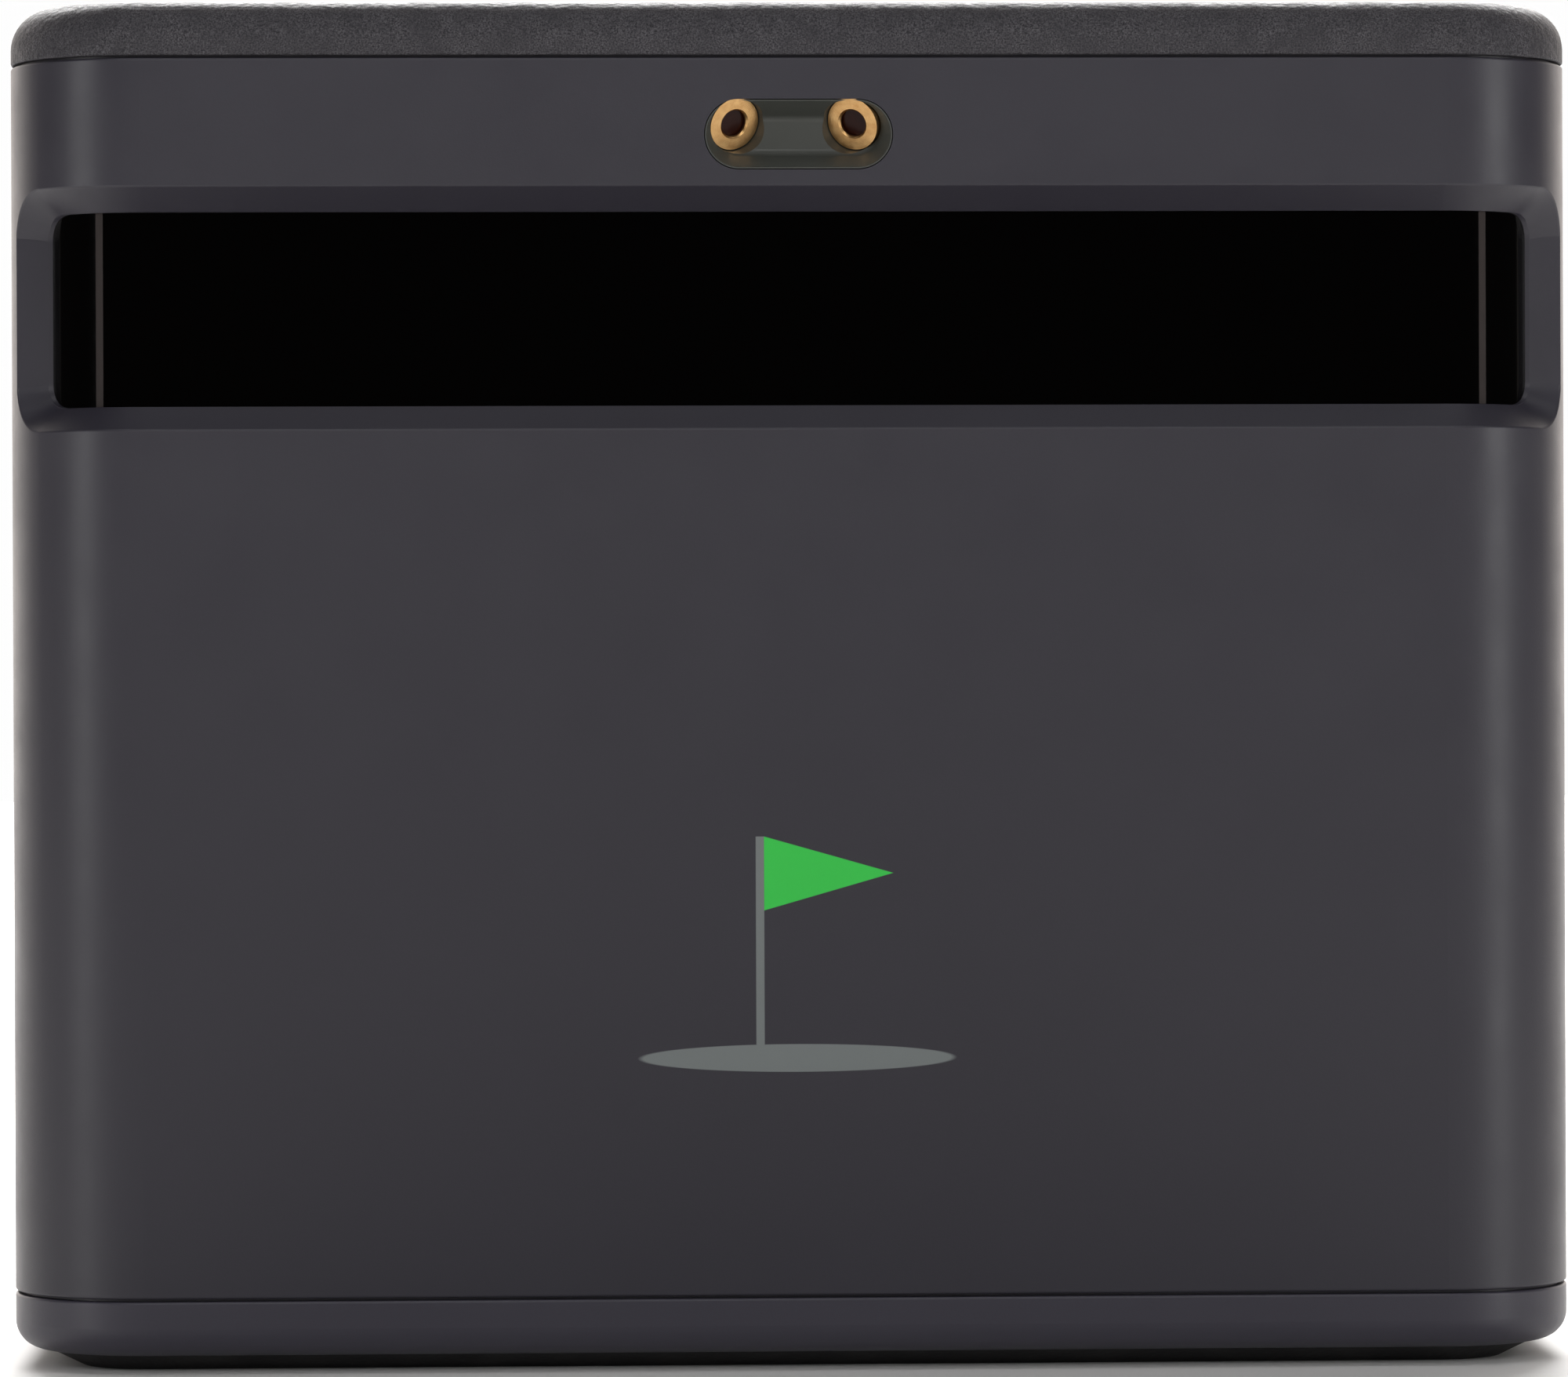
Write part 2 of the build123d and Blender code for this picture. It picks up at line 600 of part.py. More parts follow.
def top_cover():
    """Cap with a rounded edge, a locating lip, ribs and screw posts."""
    solid = fillet(prism(0, TOP_SEAM_Z, HEIGHT).edges().group_by(Axis.Z)[-1], TOP_EDGE_R)
    solid = fillet(solid.edges().group_by(Axis.Z)[0], EDGE_SOFT)
    ceiling = HEIGHT - COVER_THICK
    solid = solid - prism(WALL, TOP_SEAM_Z, ceiling - COVER_STEP)
    solid = solid - prism(WALL + COVER_HAUNCH, ceiling - COVER_STEP, ceiling)
    lip = ring(WALL + FIT, WALL + FIT + LIP_THICK, TOP_SEAM_Z - LIP_REACH, TOP_SEAM_Z)
    root = ring(WALL - ROOT, WALL + FIT + LIP_THICK, TOP_SEAM_Z, TOP_SEAM_Z + LIP_ROOT)
    solid = solid + lip + root
    for x in TOP_SCREW_XS:
        solid = solid + rod_z(x, TOP_SCREW_Y, CHASSIS_HIGH_Z, ceiling + ROOT, POST_R)
        solid = solid - rod_z(x, TOP_SCREW_Y, CHASSIS_HIGH_Z, ceiling - ROOT, PILOT_R)
    for x in TOP_RIB_XS:
        solid = solid + block((x - RIB_HALF, x + RIB_HALF), TOP_RIB_YS, (ceiling - RIB_DEEP, ceiling + ROOT))
    return solid


def base_cover():
    """Floor of the casing, with a locating lip, ribs and a seat for the sole."""
    solid = fillet(prism(0, BASE_LOW_Z, BASE_SEAM_Z).edges().group_by(Axis.Z)[0], BASE_EDGE_R)
    solid = fillet(solid.edges().group_by(Axis.Z)[-1], EDGE_SOFT)
    solid = solid - prism(WALL + COVER_HAUNCH, BASE_FLOOR_Z, BASE_SEAM_Z)
    solid = solid - prism(WALL, BASE_FLOOR_Z + COVER_STEP, BASE_SEAM_Z)
    lip = ring(WALL + FIT, WALL + FIT + LIP_THICK, BASE_SEAM_Z, BASE_SEAM_Z + LIP_REACH)
    root = ring(WALL - ROOT, WALL + FIT + LIP_THICK, BASE_SEAM_Z - LIP_ROOT, BASE_SEAM_Z)
    solid = solid + lip + root
    for y in (-COVER_SCREW_Y, COVER_SCREW_Y):
        for x in (-COVER_SCREW_X, COVER_SCREW_X):
            pillar = rod_z(x, y, BASE_FLOOR_Z - ROOT, BOSS_LOW_Z - FIT, POST_R)
            solid = solid + (pillar & prism(WALL + FIT, 0, HEIGHT))
            solid = solid - rod_z(x, y, 0, BOSS_LOW_Z, CLEAR_R)
            solid = solid - rod_z(x, y, 0, COVER_SCREW_LOW, HEAD_R + HEAD_GAP)
    for y in BASE_RIB_YS:
        solid = solid + block(BASE_RIB_XS, (y - RIB_HALF, y + RIB_HALF), (BASE_FLOOR_Z - ROOT, BASE_SEAM_Z))
    return solid - prism(SOLE_INSET - FIT, BASE_LOW_Z, BASE_LOW_Z + SOLE_SEAT)


def sole():
    """Rubber foot that spreads upwards, with three ring grooves underneath."""
    spread = degrees(atan2(SOLE_FOOT_INSET - SOLE_INSET, BASE_LOW_Z))
    foot = extrude(outline(SOLE_FOOT_INSET), amount=BASE_LOW_Z, taper=-spread)
    pad = foot + prism(SOLE_INSET, BASE_LOW_Z, BASE_LOW_Z + SOLE_SEAT)
    for index in range(GROOVE_COUNT):
        inset = SOLE_FOOT_INSET + GROOVE_START + index * GROOVE_STEP
        pad = pad - ring(inset, inset + GROOVE_WIDTH, 0, SOLE_GROOVE)
    return pad


def cover_screws():
    solids = []
    for y in (-COVER_SCREW_Y, COVER_SCREW_Y):
        for x in (-COVER_SCREW_X, COVER_SCREW_X):
            solids.append(screw((x, y, COVER_SCREW_LOW), (x, y, COVER_SCREW_LOW + COVER_SCREW_LENGTH)))
    return group(solids)


TOP_SCREW_XS = (-55.0, -20.0, 20.0, 55.0)
TOP_SCREW_Y = 13.0
TOP_SCREW_LENGTH = 8.0


def top_screws():
    low = CHASSIS_HIGH_Z - CHASSIS_THICK
    tip = low + TOP_SCREW_LENGTH
    return group([screw((x, TOP_SCREW_Y, low), (x, TOP_SCREW_Y, tip)) for x in TOP_SCREW_XS])


def rear_screws():
    solids = []
    for z in REAR_SCREW_ZS:
        for x in (-REAR_SCREW_X, REAR_SCREW_X):
            under = REAR_Y - REAR_SINK
            tip = (x, under - REAR_SCREW_LENGTH, z)
            solids.append(screw((x, under, z), tip, (HEAD_R, LOW_HEAD_H, SCREW_R)))
    return group(solids)


# ---------------------------------------------------------------- window
def centre_window():
    return whole_pane() & column(-DIVIDER_X + DIVIDER_WIDTH / 2, DIVIDER_X - DIVIDER_WIDTH / 2)


def right_window():
    return whole_pane() & column(DIVIDER_X + DIVIDER_WIDTH / 2, WIDTH)


def right_divider():
    return whole_pane() & column(DIVIDER_X - DIVIDER_WIDTH / 2, DIVIDER_X + DIVIDER_WIDTH / 2)


def window_gasket():
    pad = wrapped_band((PANE_BACK, GASKET_BACK), PANE_HALF, PANE_END_Y)
    insets = (PANE_BACK - 1, GASKET_BACK + 1)
    return pad - wrapped_band(insets, PANE_HALF - GASKET_WIDTH, PANE_END_Y - GASKET_WIDTH)


def clamp_screw_places():
    zs = (WINDOW_Z - CLAMP_SCREW_RISE, WINDOW_Z + CLAMP_SCREW_RISE)
    return [(x, z) for z in zs for x in CLAMP_SCREW_XS]


def window_clamp():
    """Frame behind the gasket, screwed to the band."""
    back = GASKET_BACK + CLAMP_THICK
    plate = wrapped_band((GASKET_BACK, back), CLAMP_HALF, BAND_END_Y)
    insets = (PANE_BACK - 1, back + 1)
    plate = plate - wrapped_band(insets, PANE_HALF - GASKET_WIDTH, PANE_END_Y - GASKET_WIDTH)
    for x, z in clamp_screw_places():
        plate = plate - rod_y(x, z, FRONT_Y, 0, TINY_CLEAR_R)
    return plate


def window_screws():
    face = FRONT_Y + GASKET_BACK + CLAMP_THICK
    tip_y = face - TINY_REACH
    return group([screw((x, face, z), (x, tip_y, z), TINY_SCREW) for x, z in clamp_screw_places()])


# ---------------------------------------------------------------- chassis
CHASSIS_BACK = CHASSIS_Y + CHASSIS_THICK
SHELF_FRONT = -27.0
CABLE_WIDTH = 10.0
CABLE_THICK = 0.3
CABLE_BEND = 1.2
CABLE_Z = 97.2                      # height at which the flat cables pass through the chassis
CABLE_SLOT_WIDTH = 12.5
CABLE_SLOT_HEIGHT = 2.6
CABLE_DROP = 13.0
SIDE_FLANGE = 9.0
SIDE_FLANGE_ZS = (20.0, 133.0)
TOP_FLANGE_HALF = 62.0
TOP_FLANGE = 15.0
SHELF_HALF = 50.0
CHASSIS_SCREW_GRIP = 7.5
SPACER_ACROSS = 6.0


def chassis():
    """Bent metal plate with flanges, a battery shelf and the holes for everything it carries."""
    plate_zs = (CHASSIS_LOW_Z, CHASSIS_HIGH_Z)
    plate = block((-CHASSIS_HALF, CHASSIS_HALF), (CHASSIS_Y, CHASSIS_BACK), plate_zs)
    for x in (-CHASSIS_HALF, CHASSIS_HALF - CHASSIS_THICK):
        side = block((x, x + CHASSIS_THICK), (CHASSIS_Y, CHASSIS_BACK + SIDE_FLANGE), SIDE_FLANGE_ZS)
        plate = plate + side
    top = CHASSIS_HIGH_Z - CHASSIS_THICK
    flange_ys = (CHASSIS_Y, CHASSIS_BACK + TOP_FLANGE)
    plate = plate + block((-TOP_FLANGE_HALF, TOP_FLANGE_HALF), flange_ys, (top, CHASSIS_HIGH_Z))
    shelf_zs = (CHASSIS_LOW_Z, CHASSIS_LOW_Z + CHASSIS_THICK)
    plate = plate + block((-SHELF_HALF, SHELF_HALF), (SHELF_FRONT, CHASSIS_BACK), shelf_zs)
    for z in POST_ZS:
        for x in (-POST_X, POST_X):
            plate = plate - rod_y(x, z, CHASSIS_Y, CHASSIS_BACK, CLEAR_R)
    for x in TOP_SCREW_XS:
        plate = plate - rod_z(x, TOP_SCREW_Y, top, CHASSIS_HIGH_Z, CLEAR_R)
    for x in (-CAMERA_X, CAMERA_X):
        slot_xs = (x - CABLE_SLOT_WIDTH / 2, x + CABLE_SLOT_WIDTH / 2)
        slot_zs = (CABLE_Z - CABLE_SLOT_HEIGHT / 2, CABLE_Z + CABLE_SLOT_HEIGHT / 2)
        plate = plate - block(slot_xs, (CHASSIS_Y, CHASSIS_BACK), slot_zs)
        for dx, dz in camera_screw_offsets():
            plate = plate - rod_y(x + dx, WINDOW_Z + dz, CHASSIS_Y, CHASSIS_BACK, SMALL_CLEAR_R)
    for x, z in main_board_corners() + spacer_places() + driver_board_corners():
        plate = plate - rod_y(x, z, CHASSIS_Y, CHASSIS_BACK, SMALL_CLEAR_R)
    return plate


def chassis_screws():
    places = [(x, z) for z in POST_ZS for x in (-POST_X, POST_X)]
    return group([screw((x, CHASSIS_BACK, z), (x, CHASSIS_Y - CHASSIS_SCREW_GRIP, z)) for x, z in places])


def spacer_places():
    return [(x, z) for z in REAR_SCREW_ZS for x in (-REAR_SCREW_X, REAR_SCREW_X)]


def hex_pillar(x, z, y_from, y_to, across):
    """Six-sided pillar along Y with a threaded hole."""
    face = Plane.XZ.offset(-y_to) * (Pos(x, z) * RegularPolygon(across / 2, 6, major_radius=False))
    return extrude(face, amount=y_to - y_from) - rod_y(x, z, y_from, y_to, PILOT_R)


def rear_spacers():
    return group([hex_pillar(x, z, CHASSIS_BACK, SPACER_END_Y, SPACER_ACROSS) for x, z in spacer_places()])


# ---------------------------------------------------------------- cameras
CAMERA_BACK = CHASSIS_Y - BOARD_THICK
CAMERA_FRONT = CAMERA_BACK - CAMERA_BODY_DEPTH
SOCKET_R = 7.0
SENSOR_BOARD_SIDE = 29.0
CAMERA_CORNER = 3.0
CAMERA_SCREW_AT = 10.5
CAMERA_SCREW_GRIP = 5.0
LENS_SEAT = 5.0                # the lens barrel reaches this far into the camera's body
LENS_COLLAR = 4.0
LENS_COLLAR_R = 9.0
LENS_COUNTERBORE = 0.8
LENS_COUNTERBORE_R = 6.4
GLASS_SINK = 1.0
GLASS_THICK = 2.5
GLASS_DOME_R = 14.0
SENSOR_HALF = 4.0
SENSOR_THICK = 1.2
BOARD_CORNER = 1.5


def camera_screw_offsets():
    sides = (-CAMERA_SCREW_AT, CAMERA_SCREW_AT)
    return [(dx, dz) for dx in sides for dz in sides]


def camera_body(side):
    x = side * CAMERA_X
    body = rounded_slab(x, WINDOW_Z, CAMERA_SIDE, CAMERA_SIDE, CAMERA_CORNER, CAMERA_FRONT, CAMERA_BACK)
    body = body - rod_y(x, WINDOW_Z, CAMERA_FRONT, CAMERA_BACK, SOCKET_R)
    for dx, dz in camera_screw_offsets():
        bottom = CAMERA_BACK - CAMERA_SCREW_GRIP - 1
        body = body - rod_y(x + dx, WINDOW_Z + dz, bottom, CAMERA_BACK, SMALL_PILOT_R)
    return body


def camera_lens(side):
    x = side * CAMERA_X
    back = CAMERA_FRONT + LENS_SEAT
    collar = CAMERA_FRONT - LENS_COLLAR
    barrel = rod_y(x, WINDOW_Z, back, CAMERA_FRONT, SOCKET_R - FIT / 2)
    barrel = barrel + rod_y(x, WINDOW_Z, CAMERA_FRONT, collar, LENS_COLLAR_R)
    barrel = barrel + rod_y(x, WINDOW_Z, collar, LENS_FRONT_Y, LENS_R)
    barrel = barrel - rod_y(x, WINDOW_Z, back, LENS_FRONT_Y, LENS_BORE_R)
    return barrel - rod_y(x, WINDOW_Z, LENS_FRONT_Y, LENS_FRONT_Y + LENS_COUNTERBORE, LENS_COUNTERBORE_R)


def camera_glass(side):
    """Front lens: a disc with a domed outer face."""
    x = side * CAMERA_X
    front = LENS_FRONT_Y + GLASS_SINK
    disc = rod_y(x, WINDOW_Z, front, front + GLASS_THICK, LENS_BORE_R - SLIP)
    return disc & Pos(x, front + GLASS_DOME_R, WINDOW_Z) * Sphere(GLASS_DOME_R)


def sensor_board(side):
    x = side * CAMERA_X
    side = SENSOR_BOARD_SIDE
    board = rounded_slab(x, WINDOW_Z, side, side, BOARD_CORNER, CAMERA_BACK, CHASSIS_Y)
    for dx, dz in camera_screw_offsets():
        board = board - rod_y(x + dx, WINDOW_Z + dz, CAMERA_BACK, CHASSIS_Y, SMALL_CLEAR_R)
    return board


def image_sensors():
    """Square image chips on the sensor boards, behind the lenses."""
    ys = (CAMERA_BACK - SENSOR_THICK, CAMERA_BACK)
    zs = (WINDOW_Z - SENSOR_HALF, WINDOW_Z + SENSOR_HALF)
    return group([block((x - SENSOR_HALF, x + SENSOR_HALF), ys, zs) for x in (-CAMERA_X, CAMERA_X)])


def camera_screws():
    solids = []
    for x in (-CAMERA_X, CAMERA_X):
        for dx, dz in camera_screw_offsets():
            head = (x + dx, CHASSIS_BACK, WINDOW_Z + dz)
            tip = (x + dx, CAMERA_BACK - CAMERA_SCREW_GRIP, WINDOW_Z + dz)
            solids.append(screw(head, tip, SMALL_SCREW))
    return group(solids)


def camera_cables():
    """Flat cables: down from each sensor board, back through the chassis, then down the main board."""
    low = WINDOW_Z - SENSOR_BOARD_SIDE / 2
    board_y = CHASSIS_Y - BOARD_THICK / 2
    end_y = BOARD_FACE - CABLE_THICK / 2
    solids = []
    for x in (-CAMERA_X, CAMERA_X):
        end_z = CABLE_Z - CABLE_DROP
        points = [(x, board_y, low), (x, board_y, CABLE_Z), (x, end_y, CABLE_Z), (x, end_y, end_z)]
        section_plane = Plane(origin=points[0], x_dir=(1, 0, 0), z_dir=(0, 0, -1))
        ribbon = section_plane * Rectangle(CABLE_WIDTH, CABLE_THICK)
        solids.append(sweep(ribbon, path=FilletPolyline(*points, radius=CABLE_BEND)))
    return group(solids)


# ---------------------------------------------------------------- strobe
SPREADER_THICK = 4.0
STROBE_BACK = CHASSIS_Y - SPREADER_THICK
LED_DXS = (-12.0, -4.0, 4.0, 12.0)
LED_DZS = (-5.0, 5.0)
LED_HALF = 1.75
LED_BASE = 0.9
LED_HEIGHT = 1.6
LED_DOME_R = 1.3
CUP_R = 2.6
CUP_MOUTH_R = 3.8
CUP_DEPTH = 7.0
BAFFLE_X = 40.2
BAFFLE_HALF = 0.75
BAFFLE_FRONT = -26.0
BAFFLE_ZS = (101.0, 129.5)
STROBE_FRONT = STROBE_BACK - BOARD_THICK


def led_places(x_mid):
    return [(x_mid + dx, WINDOW_Z + dz) for dx in LED_DXS for dz in LED_DZS]


def strobe_board(side):
    x = side * STROBE_X
    return rounded_slab(x, WINDOW_Z, STROBE_WIDTH, STROBE_HEIGHT, BOARD_CORNER, STROBE_FRONT, STROBE_BACK)


def strobe_leds():
    solids = []
    for x, z in led_places(-STROBE_X) + led_places(STROBE_X):
        face = STROBE_FRONT - LED_BASE
        body = block((x - LED_HALF, x + LED_HALF), (face, STROBE_FRONT), (z - LED_HALF, z + LED_HALF))
        solids.append(body + rod_y(x, z, STROBE_FRONT - LED_HEIGHT, face, LED_DOME_R))
    return group(solids)


def strobe_reflector(side):
    """Moulded plate with one flared cup for each LED."""
    front = STROBE_FRONT - CUP_DEPTH
    x_mid = side * STROBE_X
    plate = rounded_slab(x_mid, WINDOW_Z, STROBE_WIDTH, STROBE_HEIGHT, BOARD_CORNER, front, STROBE_FRONT)
    for x, z in led_places(x_mid):
        cup = Plane(origin=(x, STROBE_FRONT, z), z_dir=(0, -1, 0))
        flare = Cone(CUP_R, CUP_MOUTH_R, CUP_DEPTH, align=(Align.CENTER, Align.CENTER, Align.MIN))
        plate = plate - cup * flare
    return plate


def strobe_heat_spreader():
    """Aluminium bar that carries both LED boards and takes their heat to the chassis."""
    half = STROBE_X + STROBE_WIDTH / 2
    zs = (WINDOW_Z - STROBE_HEIGHT / 2, WINDOW_Z + STROBE_HEIGHT / 2)
    return block((-half, half), (STROBE_BACK, CHASSIS_Y), zs)


def light_baffles():
    """Black walls that keep strobe light out of the cameras."""
    ys = (BAFFLE_FRONT, CHASSIS_Y)
    return group([block((x - BAFFLE_HALF, x + BAFFLE_HALF), ys, BAFFLE_ZS) for x in (-BAFFLE_X, BAFFLE_X)])


DRIVER_BACK = CHASSIS_Y - 4.0          # the board stands this far off the chassis, on pillars
DRIVER_FRONT = DRIVER_BACK - BOARD_THICK
DRIVER_XS = (-48.0, 48.0)
DRIVER_ZS = (58.0, 96.0)
DRIVER_SCREW_XS = (-45.0, 45.0)
DRIVER_SCREW_ZS = (61.0, 93.0)
DRIVER_SCREW_GRIP = 2.5
CAPACITOR_XS = (-34.0, -16.0, 2.0, 20.0)
CAPACITOR_Z = 77.0
CAPACITOR_R = 7.5
CAPACITOR_LENGTH = 25.0
CAN_SOFT = 0.8
PILLAR_R = 2.4


def driver_board_corners():
    return [(x, z) for x in DRIVER_SCREW_XS for z in DRIVER_SCREW_ZS]


def strobe_driver_board():
    board = block(DRIVER_XS, (DRIVER_FRONT, DRIVER_BACK), DRIVER_ZS)
    for x, z in driver_board_corners():
        board = board - rod_y(x, z, DRIVER_FRONT, DRIVER_BACK, SMALL_CLEAR_R)
    return board


def strobe_capacitors():
    solids = []
    for x in CAPACITOR_XS:
        can = rod_y(x, CAPACITOR_Z, DRIVER_FRONT - CAPACITOR_LENGTH, DRIVER_FRONT, CAPACITOR_R)
        solids.append(fillet(can.edges().group_by(Axis.Y)[0], CAN_SOFT))
    return group(solids)


def driver_screws():
    tip_y = DRIVER_BACK + DRIVER_SCREW_GRIP
    return group([screw((x, DRIVER_FRONT, z), (x, tip_y, z), SMALL_SCREW) for x, z in driver_board_corners()])


def board_pillars(places, y_from, y_to):
    """Brass pillars under a board, one at each place."""
    solids = []
    for x, z in places:
        solids.append(rod_y(x, z, y_from, y_to, PILLAR_R) - rod_y(x, z, y_from, y_to, SMALL_PILOT_R))
    return group(solids)


# ---------------------------------------------------------------- main board
BOARD_FACE = CHASSIS_BACK + 5.0        # face towards the chassis
BOARD_BACK = BOARD_FACE + BOARD_THICK  # face towards the rear wall, which carries the parts
MAIN_XS = (-64.0, 64.0)
MAIN_LOW_Z = 44.0
MAIN_HIGH_Z = 112.0
MAIN_SCREW_XS = (-46.0, 46.0)
MAIN_SCREW_ZS = (48.0, 100.0)
PROCESSOR_Z = 83.0
PROCESSOR_HALF = 13.0
PROCESSOR_BASE = 1.2
DIE_HALF = 9.0
DIE_HEIGHT = 2.0               # from the board to the top of the die
SINK_HALF = 15.0
SINK_PLATE = 2.0
FIN_COUNT = 8
FIN_START = -14.2
FIN_STEP = 3.9
FIN_THICK = 1.1
FIN_HEIGHT = 8.0
MEMORY_XS = (-34.0, 24.0)
MEMORY_ZS = (72.0, 86.0)
MEMORY_SIDE = 10.0
RADIO_XS = (-58.0, -40.0)
RADIO_ZS = (56.0, 82.0)
RADIO_BOARD = 0.8
RADIO_CAN_XS = (-56.5, -41.5)
RADIO_CAN_ZS = (58.0, 78.0)
RADIO_CAN_TOP = 2.6
SOCKET_XS = (-24.0, 0.0, 24.0)
SOCKET_HALF = 7.0
SOCKET_TALL = 3.5
SOCKET_ZS = (50.0, 55.0)
ANTENNA_THICK = 0.8
ANTENNA_XS = (-60.0, -28.0)
ANTENNA_ZS = (118.0, 126.0)
ANTENNA_SLOT_XS = (-56.0, -32.0)
ANTENNA_SLOT_ZS = (121.0, 123.0)


def main_board_corners():
    return [(x, z) for x in MAIN_SCREW_XS for z in MAIN_SCREW_ZS]


def main_board():
    board = block(MAIN_XS, (BOARD_FACE, BOARD_BACK), (MAIN_LOW_Z, MAIN_HIGH_Z))
    for x, z in main_board_corners():
        board = board - rod_y(x, z, BOARD_FACE, BOARD_BACK, SMALL_CLEAR_R)
    return board


def processor():
    """Square package with a raised die."""
    face = BOARD_BACK + PROCESSOR_BASE
    zs = (PROCESSOR_Z - PROCESSOR_HALF, PROCESSOR_Z + PROCESSOR_HALF)
    base = block((-PROCESSOR_HALF, PROCESSOR_HALF), (BOARD_BACK, face), zs)
    die_zs = (PROCESSOR_Z - DIE_HALF, PROCESSOR_Z + DIE_HALF)
    return base + block((-DIE_HALF, DIE_HALF), (face, BOARD_BACK + DIE_HEIGHT), die_zs)


def heat_sink():
    """Finned plate on the processor's die."""
    low = BOARD_BACK + DIE_HEIGHT
    top = low + SINK_PLATE
    zs = (PROCESSOR_Z - SINK_HALF, PROCESSOR_Z + SINK_HALF)
    sink = block((-SINK_HALF, SINK_HALF), (low, top), zs)
    for index in range(FIN_COUNT):
        x = FIN_START + index * FIN_STEP
        sink = sink + block((x, x + FIN_THICK), (top, top + FIN_HEIGHT), zs)
    return sink


def memory_chips():
    solids = []
    ys = (BOARD_BACK, BOARD_BACK + CHIP_THICK)
    for x in MEMORY_XS:
        for z in MEMORY_ZS:
            solids.append(block((x, x + MEMORY_SIDE), ys, (z, z + MEMORY_SIDE)))
    return group(solids)


def wireless_module():
    """Radio: a small board under a metal can."""
    face = BOARD_BACK + RADIO_BOARD
    board = block(RADIO_XS, (BOARD_BACK, face), RADIO_ZS)
    return board + block(RADIO_CAN_XS, (face, BOARD_BACK + RADIO_CAN_TOP), RADIO_CAN_ZS)


def board_connectors():
    ys = (BOARD_BACK, BOARD_BACK + SOCKET_TALL)
    return group([block((x - SOCKET_HALF, x + SOCKET_HALF), ys, SOCKET_ZS) for x in SOCKET_XS])


def main_screws():
    tip_y = CHASSIS_BACK + ROOT
    return group([screw((x, BOARD_BACK, z), (x, tip_y, z), SMALL_SCREW) for x, z in main_board_corners()])


def wireless_antenna():
    """Flat slotted plate stuck inside the rear wall."""
    wall_y = REAR_Y - WALL
    ys = (wall_y - ANTENNA_THICK, wall_y)
    return block(ANTENNA_XS, ys, ANTENNA_ZS) - block(ANTENNA_SLOT_XS, ys, ANTENNA_SLOT_ZS)


# ---------------------------------------------------------------- battery
CELL_R = 9.1
CELL_LENGTH = 65.0
CELL_Y = -13.0
CELL_ZS = (25.0, 43.6)
SHELF_TOP = CHASSIS_LOW_Z + CHASSIS_THICK
CELL_CAP = 1.0
CELL_CAP_R = 3.0
CELL_GAP = 0.2
TRAY_HALF = 36.0
TRAY_INSIDE = 33.0
TRAY_HALF_DEPTH = 11.2
TRAY_TOP = 50.0
STRAP_HALF = 7.0
STRAP_THICK = 1.0


def battery_cells():
    solids = []
    for z in CELL_ZS:
        end = CELL_LENGTH / 2
        can = rod((-end, CELL_Y, z), (end - CELL_CAP, CELL_Y, z), CELL_R)
        cap = rod((end - CELL_CAP, CELL_Y, z), (end, CELL_Y, z), CELL_CAP_R)
        solids.append(fillet(can.edges(), CAN_SOFT) + cap)
    return group(solids)


def battery_tray():
    """Cradle on the chassis shelf, cut to the shape of the two cells."""
    ys = (CELL_Y - TRAY_HALF_DEPTH, CELL_Y + TRAY_HALF_DEPTH)
    tray = block((-TRAY_HALF, TRAY_HALF), ys, (SHELF_TOP, TRAY_TOP))
    room = CELL_R + CELL_GAP
    for z in CELL_ZS:
        tray = tray - rod((-TRAY_INSIDE, CELL_Y, z), (TRAY_INSIDE, CELL_Y, z), room)
    mouth_zs = (CELL_ZS[0], TRAY_TOP + 1)
    return tray - block((-TRAY_INSIDE, TRAY_INSIDE), (CELL_Y - room, CELL_Y + room), mouth_zs)


def battery_strap():
    """Bent strip over the cells, down both sides of the tray."""
    xs = (-STRAP_HALF, STRAP_HALF)
    top = CELL_ZS[1] + CELL_R + 2 * CELL_GAP
    reach = TRAY_HALF_DEPTH + CELL_GAP
    inside = block(xs, (CELL_Y - reach, CELL_Y + reach), (SHELF_TOP, top))
    reach = reach + STRAP_THICK
    return block(xs, (CELL_Y - reach, CELL_Y + reach), (SHELF_TOP, top + STRAP_THICK)) - inside


# ---------------------------------------------------------------- controls
PORT_BOSS_XS = (-35.0, 36.0)
SWITCH_FACE = PORT_BOARD_Y + 2.0
FLANGE_BACK = 31.4
WELL_R = 1.6
WELL_ROOM = 0.4                # left below the plunger when its button is fully in
PLUNGER_R = 1.25
PLUNGER_SUNK = 0.4
SWITCH_HALF = 3.0
PORT_BOARD_XS = (-39.0, 40.0)
PORT_BOARD_HALF = 9.0
PORT_SCREW_LENGTH = 5.0
BUTTON_SUNK = 0.1
BUTTON_SOFT = 0.5
BUTTON_DISH = 0.4
BUTTON_DISH_R = 24.0
LIGHT_HALF = (1.0, 0.8)
LIGHT_TALL = 0.8
PIPE_START = 1.0               # the light pipes start this far above the board
SHELL_SUNK = 0.2
SHELL_FLOOR = 0.6
TONGUE_HALF = 2.2
TONGUE_LENGTH = 4.2
TONGUE_ZS = (0.1, 0.7)


def port_board():
    zs = (PANEL_Z - PORT_BOARD_HALF, PANEL_Z + PORT_BOARD_HALF)
    board = block(PORT_BOARD_XS, (PORT_BOARD_Y - BOARD_THICK, PORT_BOARD_Y), zs)
    for x in PORT_BOSS_XS:
        board = board - rod_y(x, PANEL_Z, PORT_BOARD_Y - BOARD_THICK, PORT_BOARD_Y, SMALL_CLEAR_R)
    return board


